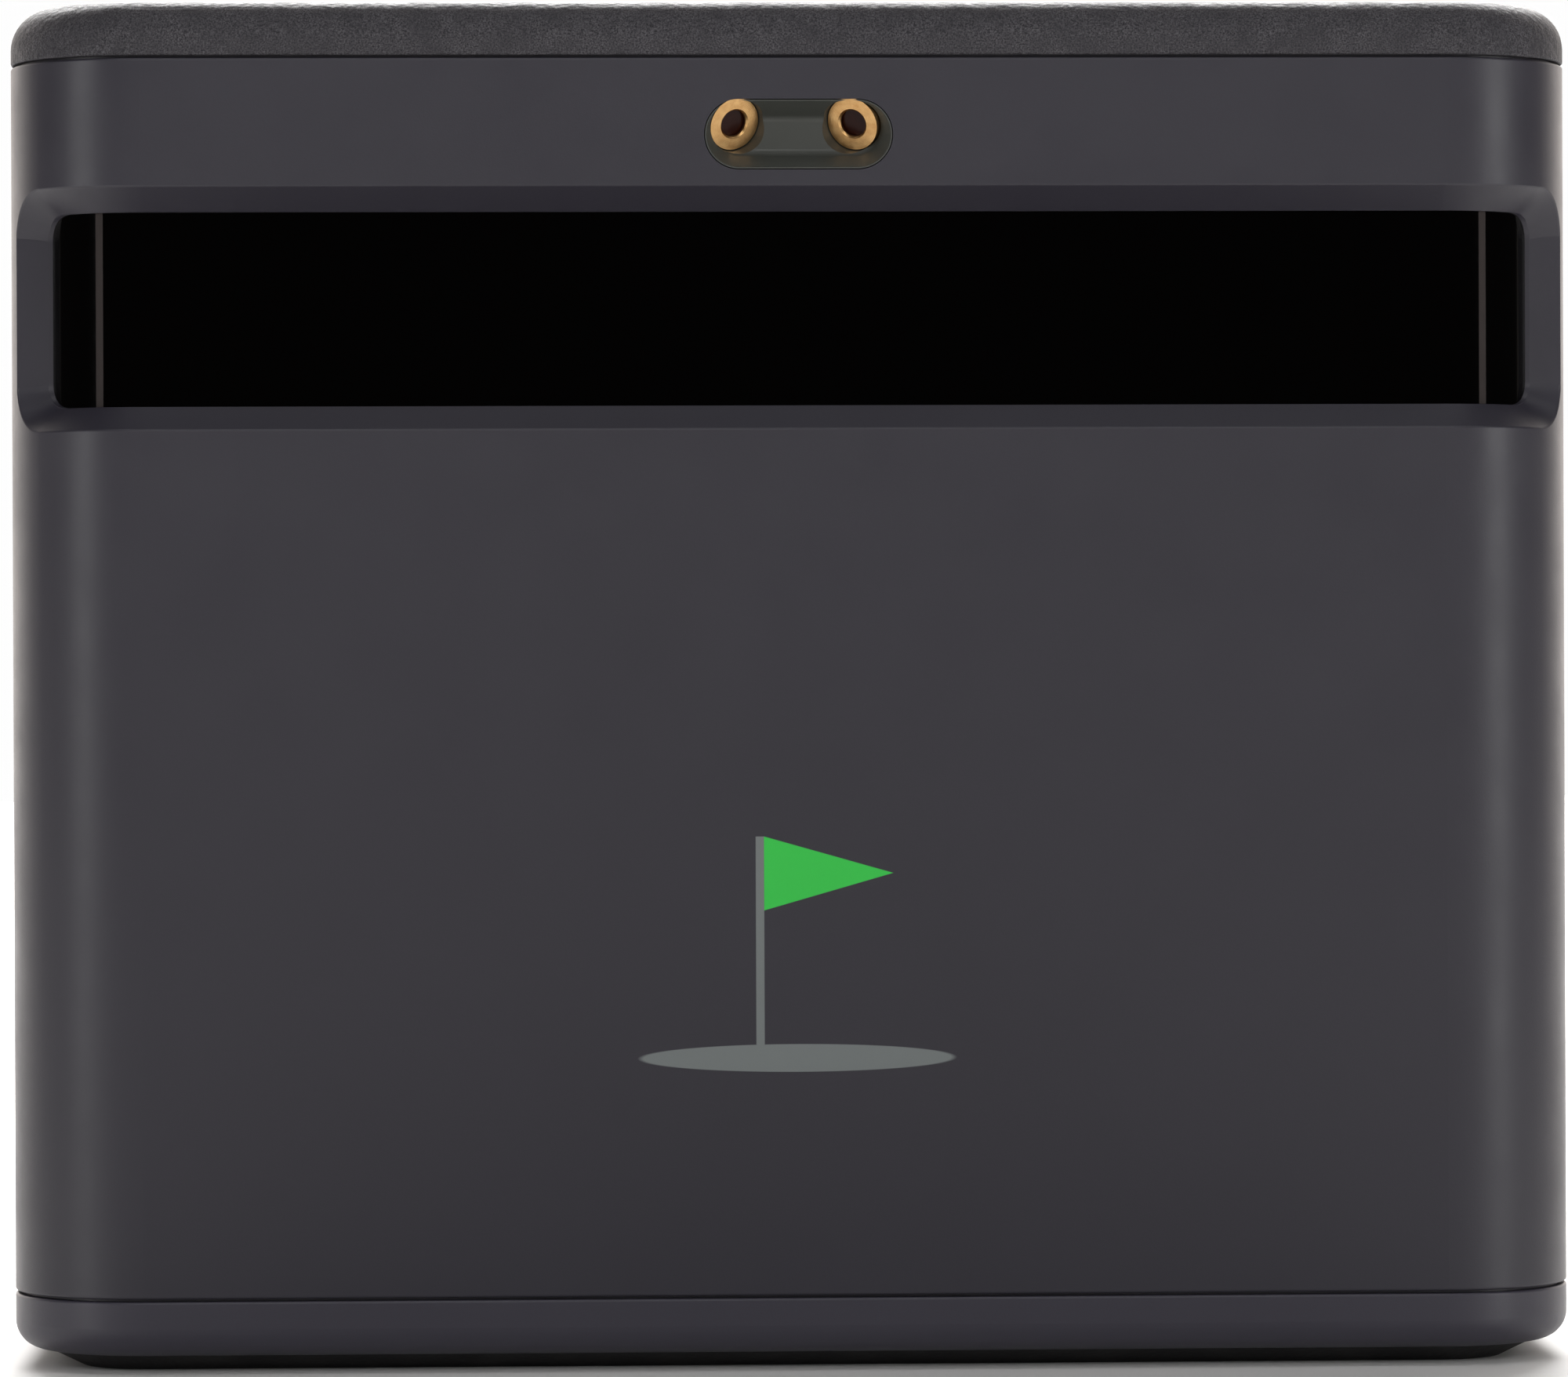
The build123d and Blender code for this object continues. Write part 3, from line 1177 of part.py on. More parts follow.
def port_screws():
    back = PORT_BOARD_Y - BOARD_THICK
    tip_y = back + PORT_SCREW_LENGTH
    return group([screw((x, back, PANEL_Z), (x, tip_y, PANEL_Z), SMALL_SCREW) for x in PORT_BOSS_XS])


def button(x):
    """Round cap with a dished face, and a flange that keeps it in the wall."""
    cap = rod_y(x, PANEL_Z, FLANGE_BACK, REAR_Y - BUTTON_SUNK, BUTTON_R)
    cap = fillet(cap.edges().group_by(Axis.Y)[-1], BUTTON_SOFT)
    dish = Pos(x, REAR_Y - BUTTON_DISH + BUTTON_DISH_R, PANEL_Z) * Sphere(BUTTON_DISH_R)
    flange = rod_y(x, PANEL_Z, FLANGE_BACK, FLANGE_BACK + FLANGE_THICK, FLANGE_R)
    return cap - dish + flange


def switch_body(x):
    """Square switch case with a well for its plunger."""
    zs = (PANEL_Z - SWITCH_HALF, PANEL_Z + SWITCH_HALF)
    case = block((x - SWITCH_HALF, x + SWITCH_HALF), (PORT_BOARD_Y, SWITCH_FACE), zs)
    floor = SWITCH_FACE - PLUNGER_SUNK - BUTTON_TRAVEL - WELL_ROOM
    return case - rod_y(x, PANEL_Z, floor, SWITCH_FACE, WELL_R)


def switch_plunger(x):
    return rod_y(x, PANEL_Z, SWITCH_FACE - PLUNGER_SUNK, FLANGE_BACK, PLUNGER_R)


def light_pipes():
    ys = (PORT_BOARD_Y + PIPE_START, PANEL_Y + FIT)
    return group([rod_y(x, PANEL_Z, *ys, PIPE_R) for x in LIGHT_XS])


def status_leds():
    half_x, half_z = LIGHT_HALF
    ys = (PORT_BOARD_Y, PORT_BOARD_Y + LIGHT_TALL)
    zs = (PANEL_Z - half_z, PANEL_Z + half_z)
    return group([block((x - half_x, x + half_x), ys, zs) for x in LIGHT_XS])


def usb_shell():
    """Metal shell of the charging port."""
    front = PANEL_Y - SHELL_SUNK
    outer = rounded_slab(PORT_X, PANEL_Z, *PORT_SHELL, PORT_BOARD_Y, front)
    return outer - rounded_slab(PORT_X, PANEL_Z, *PORT_INSIDE, PORT_BOARD_Y + SHELL_FLOOR, front)


def usb_tongue():
    back = PORT_BOARD_Y + SHELL_FLOOR
    zs = (PANEL_Z + TONGUE_ZS[0], PANEL_Z + TONGUE_ZS[1])
    return block((PORT_X - TONGUE_HALF, PORT_X + TONGUE_HALF), (back, back + TONGUE_LENGTH), zs)


# ---------------------------------------------------------------- all the pieces
def pieces():
    """Every node of the assembly, by name."""
    small_screws = [laser_screws(), camera_screws(), driver_screws(), main_screws(), port_screws()]
    nodes = {
        "front_housing": front_housing(),
        "rear_housing": rear_housing(),
        "top_cover": top_cover(),
        "base_cover": base_cover(),
        "sole": sole(),
        "cover_screws": cover_screws(),
        "rear_screws": rear_screws(),
        "centre_window": centre_window(),
        "right_window": right_window(),
        "left_window": mirrored(right_window()),
        "window_dividers": group([right_divider(), mirrored(right_divider())]),
        "window_gasket": window_gasket(),
        "window_clamp": window_clamp(),
        "window_screws": window_screws(),
        "laser_bezel": laser_bezel(),
        "laser_block": laser_block(),
        "laser_board": laser_board(),
        "chassis": chassis(),
        "chassis_screws": group([chassis_screws(), top_screws()]),
        "rear_spacers": rear_spacers(),
        "image_sensors": image_sensors(),
        "camera_cables": camera_cables(),
        "strobe_leds": strobe_leds(),
        "strobe_heat_spreader": strobe_heat_spreader(),
        "light_baffles": light_baffles(),
        "strobe_driver_board": strobe_driver_board(),
        "strobe_capacitors": strobe_capacitors(),
        "main_board": main_board(),
        "board_pillars": group([
            board_pillars(driver_board_corners(), DRIVER_BACK, CHASSIS_Y),
            board_pillars(main_board_corners(), CHASSIS_BACK, BOARD_FACE),
        ]),
        "board_screws": group(small_screws),
        "processor": processor(),
        "heat_sink": heat_sink(),
        "memory_chips": memory_chips(),
        "board_connectors": board_connectors(),
        "wireless_module": wireless_module(),
        "wireless_antenna": wireless_antenna(),
        "battery_cells": battery_cells(),
        "battery_tray": battery_tray(),
        "battery_strap": battery_strap(),
        "port_board": port_board(),
        "status_leds": status_leds(),
        "light_pipes": light_pipes(),
        "usb_shell": usb_shell(),
        "usb_tongue": usb_tongue(),
    }
    for side, name in ((-1, "left"), (1, "right")):
        nodes["laser_barrel_" + name] = laser_barrel(side)
    pairs = {
        "laser_lenses": laser_lens,
        "laser_diodes": laser_diode,
        "camera_bodies": camera_body,
        "camera_lens_barrels": camera_lens,
        "camera_front_glass": camera_glass,
        "sensor_boards": sensor_board,
        "strobe_boards": strobe_board,
        "strobe_reflectors": strobe_reflector,
    }
    for name, make in pairs.items():
        nodes[name] = group([make(-1), make(1)])
    for x, name in ((POWER_X, "power"), (MODE_X, "mode")):
        nodes[name + "_button"] = button(x)
        nodes[name + "_plunger"] = switch_plunger(x)
    nodes["switch_cases"] = group([switch_body(POWER_X), switch_body(MODE_X)])
    return nodes


def main():
    os.makedirs("parts", exist_ok=True)
    for name, shape in pieces().items():
        export_step(shape, "parts/" + name + ".step")


main()
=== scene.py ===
"""Golf launch monitor: looks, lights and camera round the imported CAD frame.

Everything is in metres in the CAD frame: the front faces -Y, +Z is up.
"""
import math

import bpy
from mathutils import Matrix, Vector


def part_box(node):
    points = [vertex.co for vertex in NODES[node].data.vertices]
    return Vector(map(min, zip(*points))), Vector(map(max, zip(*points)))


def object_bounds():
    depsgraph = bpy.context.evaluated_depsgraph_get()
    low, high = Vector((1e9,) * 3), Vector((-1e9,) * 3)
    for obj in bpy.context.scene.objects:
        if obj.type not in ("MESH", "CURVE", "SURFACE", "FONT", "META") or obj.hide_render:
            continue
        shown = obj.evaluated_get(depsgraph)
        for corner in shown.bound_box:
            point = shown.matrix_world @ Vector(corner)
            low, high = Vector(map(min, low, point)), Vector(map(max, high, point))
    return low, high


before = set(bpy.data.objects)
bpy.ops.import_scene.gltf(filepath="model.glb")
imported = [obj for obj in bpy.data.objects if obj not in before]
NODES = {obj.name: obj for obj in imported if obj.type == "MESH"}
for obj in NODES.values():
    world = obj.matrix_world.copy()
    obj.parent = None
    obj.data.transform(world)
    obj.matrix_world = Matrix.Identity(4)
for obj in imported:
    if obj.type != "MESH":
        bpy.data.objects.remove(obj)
CAD_LOW, CAD_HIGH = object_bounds()
MM = 0.001


# ---------------------------------------------------------------- node helpers
class Look:
    """A procedural material, built one shader node at a time."""

    def __init__(self, name):
        self.material = bpy.data.materials.new(name)
        self.material.use_nodes = True
        self.tree = self.material.node_tree
        self.shader = self.tree.nodes["Principled BSDF"]
        self.place = self.tree.nodes.new("ShaderNodeTexCoord").outputs["Object"]

    def add(self, kind, settings=None, **inputs):
        """A new node; a socket given as an input is linked, anything else is set."""
        made = self.tree.nodes.new("ShaderNode" + kind)
        for key, value in (settings or {}).items():
            setattr(made, key, value)
        for key, value in inputs.items():
            self.feed(made.inputs[key.replace("_", " ")], value)
        return made

    def feed(self, socket, value):
        if isinstance(value, bpy.types.NodeSocket):
            self.tree.links.new(value, socket)
        else:
            socket.default_value = value

    def math(self, operation, *values, clamp=False):
        made = self.add("Math", {"operation": operation, "use_clamp": clamp})
        for socket, value in zip(made.inputs, values):
            self.feed(socket, value)
        return made.outputs[0]

    def stretched(self, scale):
        """Object coordinates, scaled differently along each axis."""
        return self.add("Mapping", Vector=self.place, Scale=scale).outputs["Vector"]

    def noise(self, per_metre, detail=4.0, rough=0.55, at=None):
        made = self.add("TexNoise", Scale=per_metre, Detail=detail, Roughness=rough)
        self.tree.links.new(at or self.place, made.inputs["Vector"])
        return made.outputs["Fac"]

    def cells(self, per_metre, smooth):
        """Distance from the middles of soft-edged cells."""
        made = self.add("TexVoronoi", {"feature": "SMOOTH_F1"}, Scale=per_metre, Vector=self.place)
        made.inputs["Smoothness"].default_value = smooth
        return made.outputs["Distance"]

    def spread(self, value, low, high, from_low=0.0, from_high=1.0):
        made = self.add("MapRange", None, Value=value)
        ends = {"From Min": from_low, "From Max": from_high, "To Min": low, "To Max": high}
        for name, number in ends.items():
            made.inputs[name].default_value = number
        return made.outputs["Result"]

    def blend(self, factor, dark, light):
        """Colour between two others; each is a tuple or a socket."""
        made = self.add("Mix", {"data_type": "RGBA"})
        self.feed(made.inputs["Factor"], factor)
        for index, value in ((6, dark), (7, light)):
            self.feed(made.inputs[index], value if isinstance(value, bpy.types.NodeSocket) else (*value, 1))
        return made.outputs[2]

    def bump(self, height, depth):
        return self.add("Bump", None, Height=height, Distance=depth).outputs["Normal"]

    def finish(self, **inputs):
        """Sets or links the shader's own sockets and gives back the material."""
        for key, value in inputs.items():
            if isinstance(value, tuple) and len(value) == 3 and "Color" in key:
                value = (*value, 1)
            self.feed(self.shader.inputs[key.replace("_", " ")], value)
        return self.material


def srgb(red, green, blue):
    """A colour as a person reads it off a screen, 0 to 255, as linear light."""
    steps = (red, green, blue)
    return tuple(((c / 255 + 0.055) / 1.055) ** 2.4 if c > 10 else c / 255 / 12.92 for c in steps)


def shade(colour, factor):
    return tuple(c * factor for c in colour)


# ---------------------------------------------------------------- printed marks
class Print:
    """Soft-edged flat shapes on a face, measured in x and z."""

    EDGE = 0.06 * MM
    SKIN = 0.05 * MM               # how far below the face a print still shows

    def __init__(self, look):
        self.look = look
        split = look.add("SeparateXYZ", None, Vector=look.place)
        self.x, self.y, self.z = split.outputs

    def inside(self, margin):
        """1 where the margin in metres is positive, with a soft edge."""
        return self.look.math("MULTIPLY_ADD", margin, 1 / self.EDGE, 0.5, clamp=True)

    def off(self, axis, middle):
        return self.look.math("ABSOLUTE", self.look.math("SUBTRACT", axis, middle))

    def both(self, first, second):
        return self.look.math("MULTIPLY", first, second)

    def either(self, first, second):
        return self.look.math("MAXIMUM", first, second)

    def bar(self, x, z, width, height):
        across = self.inside(self.look.math("SUBTRACT", width / 2, self.off(self.x, x)))
        up = self.inside(self.look.math("SUBTRACT", height / 2, self.off(self.z, z)))
        return self.both(across, up)

    def ellipse(self, x, z, width, height):
        across = self.look.math("DIVIDE", self.look.math("SUBTRACT", self.x, x), width / 2)
        up = self.look.math("DIVIDE", self.look.math("SUBTRACT", self.z, z), height / 2)
        squares = self.look.math("MULTIPLY_ADD", across, across, self.look.math("MULTIPLY", up, up))
        reach = self.look.math("SUBTRACT", 1.0, self.look.math("SQRT", squares))
        return self.inside(self.look.math("MULTIPLY", reach, height / 2))

    def ring(self, x, z, radius, line):
        outer = self.ellipse(x, z, 2 * radius + line, 2 * radius + line)
        inner = self.ellipse(x, z, 2 * radius - line, 2 * radius - line)
        return self.look.math("SUBTRACT", outer, inner, clamp=True)

    def pennant(self, x, z, length, height):
        """Triangle with its upright side at x."""
        along = self.look.math("DIVIDE", self.look.math("SUBTRACT", self.x, x), length)
        limit = self.look.math("MULTIPLY", self.look.math("SUBTRACT", 1.0, along), height / 2)
        tall = self.inside(self.look.math("SUBTRACT", limit, self.off(self.z, z)))
        started = self.inside(self.look.math("SUBTRACT", self.x, x))
        return self.both(tall, started)

    def on_face(self, shape, y, towards):
        """Keeps a shape to the face at y; towards is -1 for the front and 1 for the rear."""
        behind = y - towards * self.SKIN
        past = self.look.math("MULTIPLY", self.look.math("SUBTRACT", self.y, behind), towards)
        return self.both(shape, self.inside(past))


# ---------------------------------------------------------------- materials
CHARCOAL = srgb(43, 41, 50)
BASE_PAINTED_LIGHT = 1.5                # painted light: the base cover's colour is made 1.5 times lighter to even out the weaker light that reaches it
CASING_GRAIN = {"roughness": 0.4, "grain": 0.22, "depth": 0.007}


def moulded(name, colour, roughness=0.5, grain=0.25, depth=0.008, marks=None):
    """Moulded plastic: fine spark-eroded grain, faint mottling and handling marks."""
    look = Look(name)
    cloud = look.noise(40, 3)
    fine = look.noise(1 / (grain * MM), 3, 0.6)
    tint = look.blend(look.spread(cloud, 0, 1, 0.3, 0.7), shade(colour, 0.97), shade(colour, 1.03))
    speck = look.spread(fine, 0.0, 0.14, 0.45, 0.8)
    tint = look.blend(speck, tint, shade(colour, 1.6))
    rub = look.spread(look.noise(90, 6, 0.7), -0.03, 0.04, 0.35, 0.65)
    gloss = look.math("ADD", rub, roughness)
    if marks:
        tint = marks(look, tint)
    return look.finish(Base_Color=tint, Roughness=gloss, Normal=look.bump(fine, depth * MM))


FRONT_Y = CAD_LOW[1]
REAR_Y = CAD_HIGH[1]
MARK_Z = 46.0 * MM
POLE_X = -4.0 * MM
POLE_WIDTH = 0.9 * MM
POLE_HEIGHT = 24 * MM
GREEN_WIDTH = 34 * MM
GREEN_HEIGHT = 3.0 * MM
FLAG_LENGTH = 14 * MM
FLAG_HEIGHT = 8 * MM
FLAG_RISE = 8.0 * MM
SYMBOL_RISE = 6.4 * MM         # from a button's top to the middle of its symbol
PRINT_GREEN = srgb(47, 200, 72)
PRINT_GREY = srgb(116, 122, 122)


def front_mark(look, tint):
    """A plain pin flag over a flat green, printed on the front face."""
    mark = Print(look)
    pole = mark.bar(POLE_X, MARK_Z, POLE_WIDTH, POLE_HEIGHT)
    ground = mark.ellipse(0, MARK_Z - POLE_HEIGHT / 2, GREEN_WIDTH, GREEN_HEIGHT)
    flag = mark.pennant(POLE_X + POLE_WIDTH / 2, MARK_Z + FLAG_RISE, FLAG_LENGTH, FLAG_HEIGHT)
    tint = look.blend(mark.on_face(mark.either(pole, ground), FRONT_Y, -1), tint, PRINT_GREY)
    return look.blend(mark.on_face(flag, FRONT_Y, -1), tint, PRINT_GREEN)


def rear_marks(look, tint):
    """Plain symbols over the two buttons: a ring with a bar, and three rising bars."""
    mark = Print(look)
    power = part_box("power_button")
    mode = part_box("mode_button")
    power_x = (power[0][0] + power[1][0]) / 2
    mode_x = (mode[0][0] + mode[1][0]) / 2
    above = power[1][2] + SYMBOL_RISE
    shapes = [mark.ring(power_x, above, 1.3 * MM, 0.4 * MM)]
    shapes.append(mark.bar(power_x, above + 1.2 * MM, 0.45 * MM, 1.6 * MM))
    for index in range(3):
        height = (1.2 + 0.9 * index) * MM
        bar_x = mode_x + (1 - index) * 1.1 * MM
        shapes.append(mark.bar(bar_x, above - 1.5 * MM + height / 2, 0.6 * MM, height))
    union = shapes[0]
    for shape in shapes[1:]:
        union = mark.either(union, shape)
    return look.blend(mark.on_face(union, REAR_Y, 1), tint, PRINT_GREY)


def grained_cover():
    """Top cover: pebbled, slightly glossier plastic like fine leather."""
    look = Look("grained_cover")
    warp = look.noise(420, 3)
    pebble = look.cells(1500, 0.35)
    fine = look.noise(5200, 4, 0.65)
    height = look.math("MULTIPLY_ADD", fine, 0.45, look.math("SUBTRACT", warp, pebble))
    patch = look.noise(260, 5, 0.7)
    speck = look.blend(look.spread(fine, 0, 1, 0.38, 0.66), srgb(36, 35, 39), srgb(92, 90, 94))
    tint = look.blend(look.spread(patch, 0, 0.6, 0.4, 0.65), speck, srgb(50, 49, 53))
    gloss = look.spread(warp, 0.5, 0.62, 0.3, 0.7)
    return look.finish(
        Base_Color=tint, Roughness=gloss, Specular_IOR_Level=0.18,
        Normal=look.bump(height, 0.10 * MM),
    )


def rubber_sole():
    look = Look("rubber_sole")
    pebble = look.cells(1400, 0.4)
    dust = look.noise(160, 6, 0.7)
    tint = look.blend(look.spread(dust, 0, 1, 0.45, 0.75), srgb(33, 32, 33), srgb(52, 51, 50))
    return look.finish(
        Base_Color=tint, Roughness=look.spread(dust, 0.72, 0.9), Specular_IOR_Level=0.3,
        Normal=look.bump(pebble, 0.08 * MM),
    )


def smoked_pane():
    """Filter window: polished, black to the eye, with the faintest waviness and dust."""
    look = Look("smoked_pane")
    wave = look.noise(30, 2)
    dust = look.noise(1800, 8, 0.8)
    tint = look.blend(look.spread(dust, 0, 0.5, 0.68, 0.8), (0.0006, 0.0005, 0.0005), (0.004, 0.003, 0.003))
    gloss = look.spread(dust, 0.05, 0.12, 0.4, 0.8)
    return look.finish(
        Base_Color=tint, Roughness=gloss, Specular_IOR_Level=0.25,
        Normal=look.bump(wave, 0.02 * MM),
    )


def divider_strip():
    look = Look("divider_strip")
    streak = look.noise(300, 4, at=look.stretched((6, 6, 1)))
    tint = look.blend(streak, srgb(46, 42, 41), srgb(58, 52, 51))
    return look.finish(Base_Color=tint, Roughness=look.spread(streak, 0.6, 0.7), Specular_IOR_Level=0.1)


# the way a barrel points: towards the middle, out of the front, and down
BARREL_AIM = (0.465, 0.80, 0.38)


def turned_brass(side):
    """Lathe-turned brass: rings about the barrel's own axis, with tarnish in patches."""
    look = Look("turned_brass_left" if side < 0 else "turned_brass_right")
    inward, out, down = BARREL_AIM
    axis = Vector((-side * inward, -out, -down)).normalized()
    turn = axis.to_track_quat("X", "Z").inverted().to_euler()
    low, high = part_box("laser_barrel_left" if side < 0 else "laser_barrel_right")
    middle = (Vector(low) + Vector(high)) / 2
    moved = look.add("VectorMath", {"operation": "SUBTRACT"})
    look.feed(moved.inputs[0], look.place)
    look.feed(moved.inputs[1], tuple(middle))
    local = look.add("Mapping", None, Vector=moved.outputs[0], Rotation=turn).outputs["Vector"]
    rings = look.add("TexWave", {"wave_type": "RINGS", "rings_direction": "X"},
                     Vector=local, Scale=1900.0, Distortion=0.6, Detail=2.0).outputs["Fac"]
    stain = look.noise(900, 5, 0.7)
    tint = look.blend(look.spread(stain, 0, 1, 0.3, 0.7), srgb(190, 146, 92), srgb(224, 184, 128))
    tint = look.blend(look.spread(rings, 0, 0.25), tint, srgb(150, 104, 58))
    return look.finish(
        Base_Color=tint, Metallic=1.0, Roughness=look.spread(stain, 0.24, 0.40),
        Normal=look.bump(rings, 0.006 * MM),
    )


def metal(name, colour, roughness=0.3, stretch=(1, 1, 30), depth=0.004):
    """Machined or rolled metal, with a lay of fine lines along one axis."""
    look = Look(name)
    lines = look.noise(260, 5, 0.6, at=look.stretched(stretch))
    patch = look.noise(120, 4, 0.6)
    tint = look.blend(look.spread(patch, 0, 1, 0.3, 0.7), shade(colour, 0.85), shade(colour, 1.08))
    gloss = look.math("ADD", look.spread(lines, -0.07, 0.09, 0.3, 0.7), roughness)
    return look.finish(Base_Color=tint, Metallic=1.0, Roughness=gloss, Normal=look.bump(lines, depth * MM))


def circuit_board():
    """Solder-masked laminate with a hint of tracks and pads under the mask."""
    look = Look("circuit_board")
    tracks = look.add("TexBrick", {"offset": 0.37, "squash": 0.6}, Vector=look.place, Scale=420.0,
                      Mortar_Size=0.035).outputs["Fac"]
    weave = look.noise(2400, 2)
    green = look.blend(look.spread(weave, 0, 1, 0.35, 0.65), srgb(20, 78, 46), srgb(28, 96, 56))
    tint = look.blend(look.math("MULTIPLY", tracks, 0.6), green, srgb(60, 130, 84))
    gloss = look.spread(weave, 0.28, 0.4)
    return look.finish(Base_Color=tint, Roughness=gloss, Normal=look.bump(tracks, 0.03 * MM))


def lens_glass():
    """Coated lens: dark red-brown inside with a faint bloom."""
    look = Look("lens_glass")
    bloom = look.noise(500, 3)
    tint = look.blend(bloom, srgb(26, 9, 6), srgb(48, 18, 11))
    return look.finish(Base_Color=tint, Roughness=look.spread(bloom, 0.1, 0.16), Specular_IOR_Level=0.12)


def lit_plastic(name, colour, roughness, clear=0.0):
    """Small clear or glossy mouldings."""
    look = Look(name)
    cloud = look.noise(700, 3)
    tint = look.blend(cloud, shade(colour, 0.85), shade(colour, 1.1))
    return look.finish(
        Base_Color=tint, Roughness=look.spread(cloud, roughness, roughness + 0.1),
        Transmission_Weight=clear, IOR=1.49,
    )


def soft_foam():
    look = Look("soft_foam")
    pores = look.cells(3200, 0.2)
    tint = look.blend(look.spread(pores, 0, 1, 0, 0.6), srgb(20, 20, 21), srgb(46, 46, 48))
    return look.finish(Base_Color=tint, Roughness=0.92, Normal=look.bump(pores, 0.1 * MM))


def paint(material, *names):
    """Gives CAD nodes their material."""
    for name in names:
        for place in NODES[name].material_slots:
            place.material = material


def paint_everything():
    board = circuit_board()
    alloy = metal("rolled_alloy", srgb(196, 198, 200), 0.34, (30, 1, 1))
    steel = metal("bright_steel", srgb(190, 190, 188), 0.26, (1, 30, 1))
    dark_steel = metal("blackened_steel", srgb(62, 62, 64), 0.38, (1, 1, 8))
    brass = metal("drawn_brass", srgb(206, 164, 104), 0.28, (1, 30, 1))
    black = moulded("black_moulding", srgb(24, 24, 25), 0.62, 0.3)
    epoxy = moulded("chip_epoxy", srgb(30, 30, 32), 0.55, 0.12)
    clear = lit_plastic("clear_moulding", srgb(214, 220, 220), 0.08, 0.85)
    lamp = lit_plastic("lamp_dome", srgb(236, 220, 150), 0.12, 0.3)
    ribbon = lit_plastic("amber_film", srgb(196, 124, 48), 0.25)
    film = lit_plastic("cell_film", srgb(36, 88, 156), 0.25)
    sleeve = lit_plastic("capacitor_sleeve", srgb(28, 34, 62), 0.25)
    mirror = metal("mirror_coat", srgb(225, 225, 225), 0.1, (1, 1, 4), 0.001)
    pane = smoked_pane()
    paint(moulded("front_plastic", CHARCOAL, **CASING_GRAIN, marks=front_mark), "front_housing")
    paint(moulded("rear_plastic", CHARCOAL, **CASING_GRAIN, marks=rear_marks), "rear_housing")
    # painted light: the base cover gets the housings' colour made lighter, standing in for light the lamps
    # don't bring near the floor
    paint(moulded("base_plastic_painted_light", shade(CHARCOAL, BASE_PAINTED_LIGHT), **CASING_GRAIN), "base_cover")
    paint(grained_cover(), "top_cover")
    paint(rubber_sole(), "sole")
    paint(pane, "centre_window", "left_window", "right_window")
    paint(divider_strip(), "window_dividers")
    paint(moulded("bezel_plastic", srgb(58, 60, 56), 0.4, 0.2, 0.004), "laser_bezel")
    paint(turned_brass(-1), "laser_barrel_left")
    paint(turned_brass(1), "laser_barrel_right")
    paint(lens_glass(), "laser_lenses", "camera_front_glass")
    paint(soft_foam(), "window_gasket")
    paint(black, "window_clamp", "camera_bodies", "camera_lens_barrels", "light_baffles", "battery_tray")
    paint(moulded("button_plastic", srgb(46, 46, 49), 0.36, 0.2), "power_button", "mode_button")
    paint(epoxy, "processor", "memory_chips", "image_sensors", "usb_tongue", "switch_cases")
    paint(board, "main_board", "laser_board", "sensor_boards", "port_board")
    paint(board, "strobe_boards", "strobe_driver_board")
    paint(alloy, "chassis", "laser_block", "strobe_heat_spreader", "heat_sink")
    paint(steel, "chassis_screws", "board_screws", "battery_strap", "usb_shell")
    paint(steel, "laser_diodes", "wireless_module")
    paint(dark_steel, "cover_screws", "rear_screws", "window_screws")
    paint(brass, "rear_spacers", "board_pillars")
    paint(mirror, "strobe_reflectors")
    paint(lamp, "strobe_leds", "status_leds")
    paint(clear, "light_pipes", "power_plunger", "mode_plunger", "board_connectors")
    paint(ribbon, "camera_cables", "wireless_antenna")
    paint(film, "battery_cells")
    paint(sleeve, "strobe_capacitors")


# ---------------------------------------------------------------- stage, lights, camera
FLOOR_HALF = 3.0
FLOOR_COLOUR = srgb(226, 225, 224)


def floor():
    mesh = bpy.data.meshes.new("floor")
    half = FLOOR_HALF
    corners = [(-half, -half, 0), (half, -half, 0), (half, half, 0), (-half, half, 0)]
    mesh.from_pydata(corners, [], [(0, 1, 2, 3)])
    sheet = bpy.data.objects.new("floor", mesh)
    bpy.context.scene.collection.objects.link(sheet)
    look = Look("pale_floor")
    cloud = look.noise(6, 4)
    tint = look.blend(cloud, shade(FLOOR_COLOUR, 0.97), FLOOR_COLOUR)
    mesh.materials.append(look.finish(Base_Color=tint, Roughness=look.spread(cloud, 0.6, 0.7)))


def softbox(name, azimuth, elevation, distance, width, height, power):
    """Rectangular lamp aimed at the object; azimuth 0 is in front and 90 is on the right."""
    middle = (Vector(CAD_LOW) + Vector(CAD_HIGH)) / 2
    a, e = math.radians(azimuth), math.radians(elevation)
    away = Vector((math.sin(a) * math.cos(e), -math.cos(a) * math.cos(e), math.sin(e)))
    lamp = bpy.data.lights.new(name, "AREA")
    lamp.shape = "RECTANGLE"
    lamp.size = width
    lamp.size_y = height
    lamp.energy = power
    holder = bpy.data.objects.new(name, lamp)
    holder.location = middle + away * distance
    holder.rotation_euler = away.to_track_quat("Z", "Y").to_euler()
    bpy.context.scene.collection.objects.link(holder)


BACKDROP = srgb(254, 254, 254)
ROOM_TINT = (1.0, 0.92, 0.86)
ROOM_FRONT = 0.02
ROOM_BACK = 2.2
ROOM_TURNS = (0.28, 0.75)      # how far round to the back it starts and stops brightening


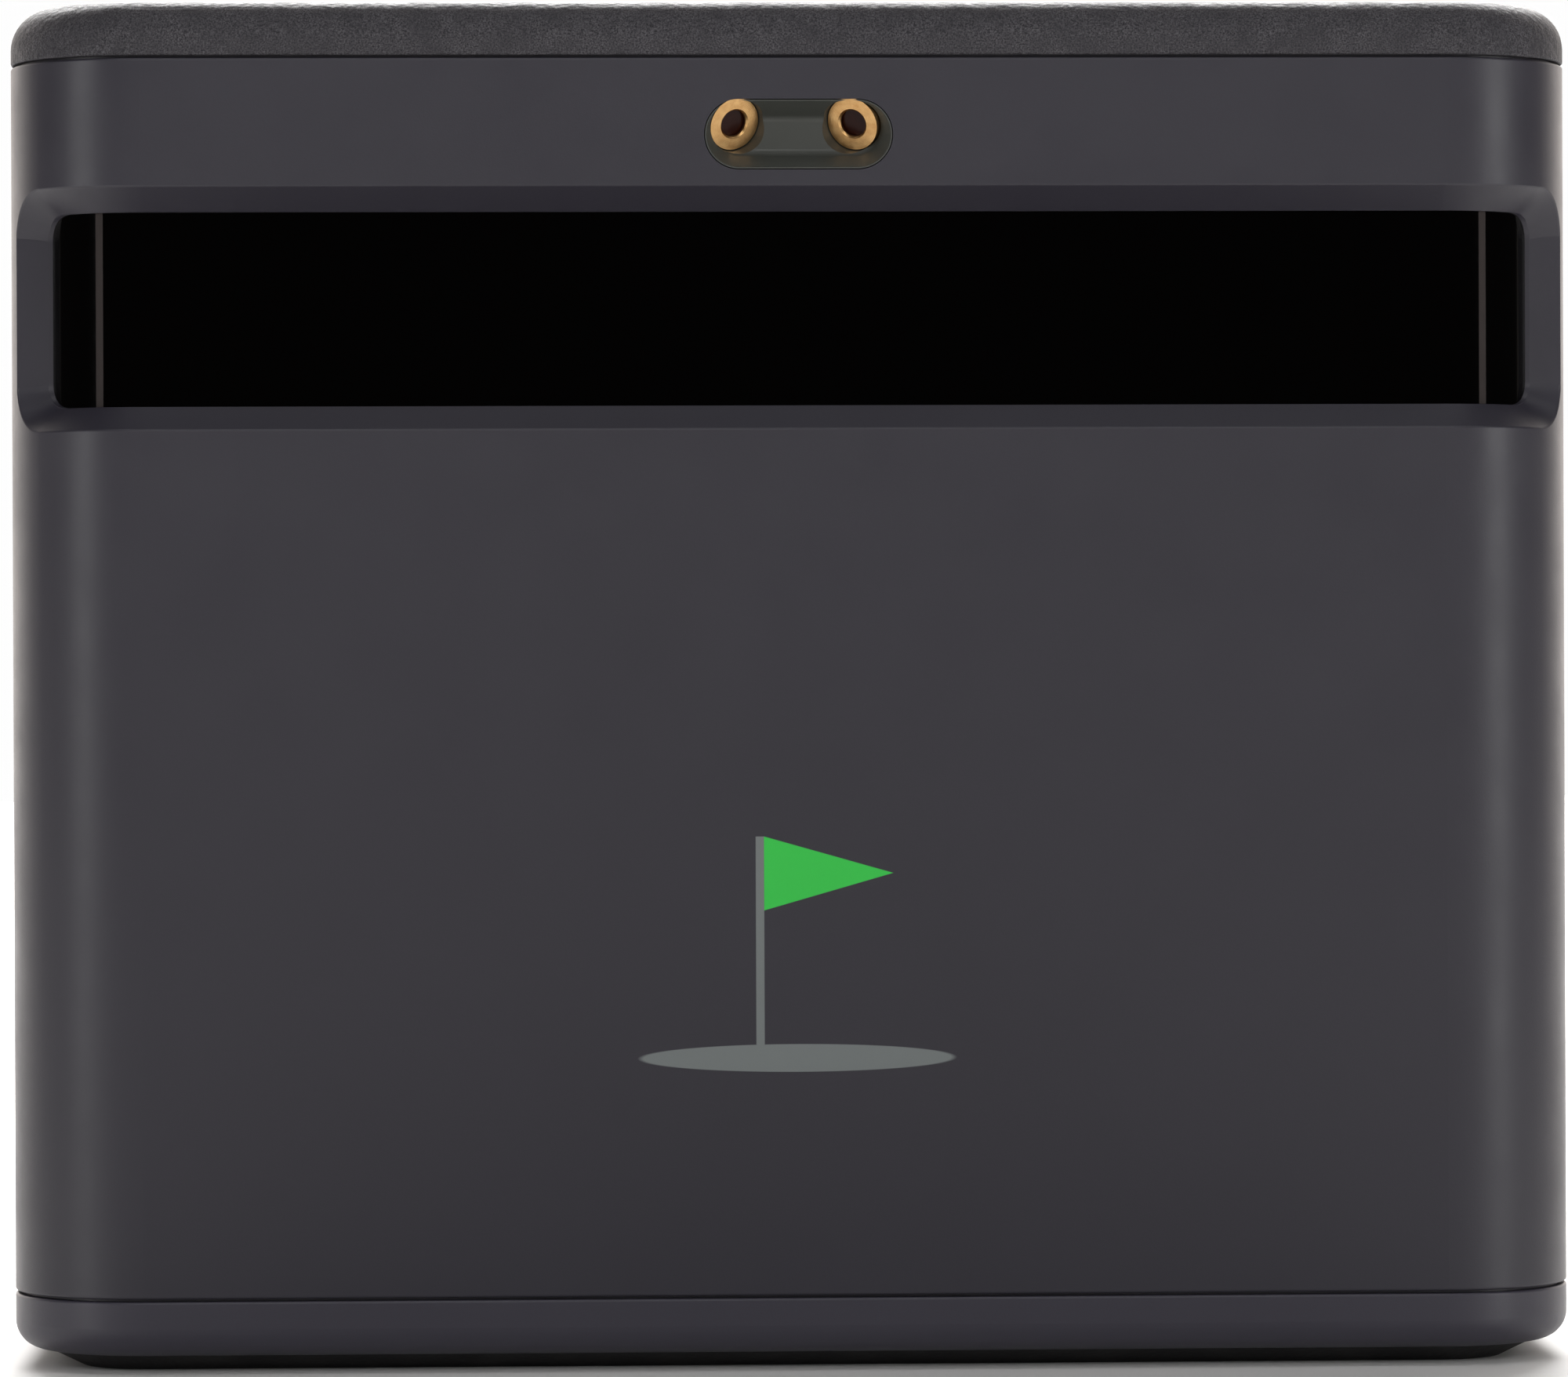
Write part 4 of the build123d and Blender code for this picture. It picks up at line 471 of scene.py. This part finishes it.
def room():
    """Pale backdrop to the eye; for light and reflections, bright behind and dim in front."""
    world = bpy.data.worlds.new("studio")
    bpy.context.scene.world = world
    world.use_nodes = True
    tree = world.node_tree
    tree.nodes.clear()

    def add(kind, **settings):
        made = tree.nodes.new("ShaderNode" + kind)
        for key, value in settings.items():
            setattr(made, key, value)
        return made

    direction = add("TexCoord").outputs["Generated"]
    split = add("SeparateXYZ")
    tree.links.new(direction, split.inputs[0])
    rise = add("MapRange", interpolation_type="SMOOTHSTEP")
    tree.links.new(split.outputs["Y"], rise.inputs["Value"])
    rise.inputs["From Min"].default_value = ROOM_TURNS[0]
    rise.inputs["From Max"].default_value = ROOM_TURNS[1]
    rise.inputs["To Min"].default_value = ROOM_FRONT
    rise.inputs["To Max"].default_value = ROOM_BACK
    seen, unseen, mix = add("Background"), add("Background"), add("MixShader")
    seen.inputs["Color"].default_value = (*BACKDROP, 1)
    unseen.inputs["Color"].default_value = (*ROOM_TINT, 1)
    tree.links.new(rise.outputs["Result"], unseen.inputs["Strength"])
    path = add("LightPath")
    tree.links.new(path.outputs["Is Camera Ray"], mix.inputs["Fac"])
    tree.links.new(unseen.outputs[0], mix.inputs[1])
    tree.links.new(seen.outputs[0], mix.inputs[2])
    out = add("OutputWorld")
    tree.links.new(mix.outputs[0], out.inputs["Surface"])


def lights():
    softbox("left_box", -54.5, 8, 1.3, 0.16, 1.1, 4.2)
    softbox("right_box", 54.5, 8, 1.3, 0.16, 1.1, 5.4)
    softbox("top_box", 10, 72, 1.2, 1.2, 0.5, 3.0)
    softbox("front_fill", 0, 24, 2.2, 1.6, 0.4, 8.6)
    softbox("floor_wash", 180, 36, 3.2, 2.6, 0.8, 190)


FRAME_WIDTH = 2000
SENSOR = 36.0
CAMERA_DISTANCE = 0.700        # from the front face
CAMERA_HEIGHT = 0.0764
CAMERA_YAW = 2.0               # how far to the left of straight ahead the camera stands
CAMERA_ROLL = 0.22
LENS_PIXELS = 8242.0           # focal length in widths of a picture point
AIM_RIGHT = -15.5 / LENS_PIXELS
AIM_DOWN = 28.0 / LENS_PIXELS


def camera():
    data = bpy.data.cameras.new("camera")
    data.sensor_width = SENSOR
    data.lens = LENS_PIXELS / FRAME_WIDTH * SENSOR
    data.clip_start = 0.05
    data.clip_end = 20
    yaw = math.radians(CAMERA_YAW)
    ahead = Vector((math.sin(yaw), math.cos(yaw), 0))
    right = Vector((math.cos(yaw), -math.sin(yaw), 0))
    up = Vector((0, 0, 1))
    spot = Vector((0, FRONT_Y, CAMERA_HEIGHT)) - ahead * CAMERA_DISTANCE
    aim = (ahead + right * AIM_RIGHT - up * AIM_DOWN).normalized()
    side = aim.cross(up).normalized()
    top = side.cross(aim)
    roll = math.radians(CAMERA_ROLL)
    rolled_side = side * math.cos(roll) - top * math.sin(roll)
    rolled_top = top * math.cos(roll) + side * math.sin(roll)
    holder = bpy.data.objects.new("camera", data)
    basis = Matrix((rolled_side, rolled_top, -aim)).transposed().to_4x4()
    holder.matrix_world = Matrix.Translation(spot) @ basis
    bpy.context.scene.collection.objects.link(holder)
    bpy.context.scene.camera = holder


bpy.context.scene.view_settings.view_transform = "Standard"
paint_everything()
floor()
room()
lights()
camera()
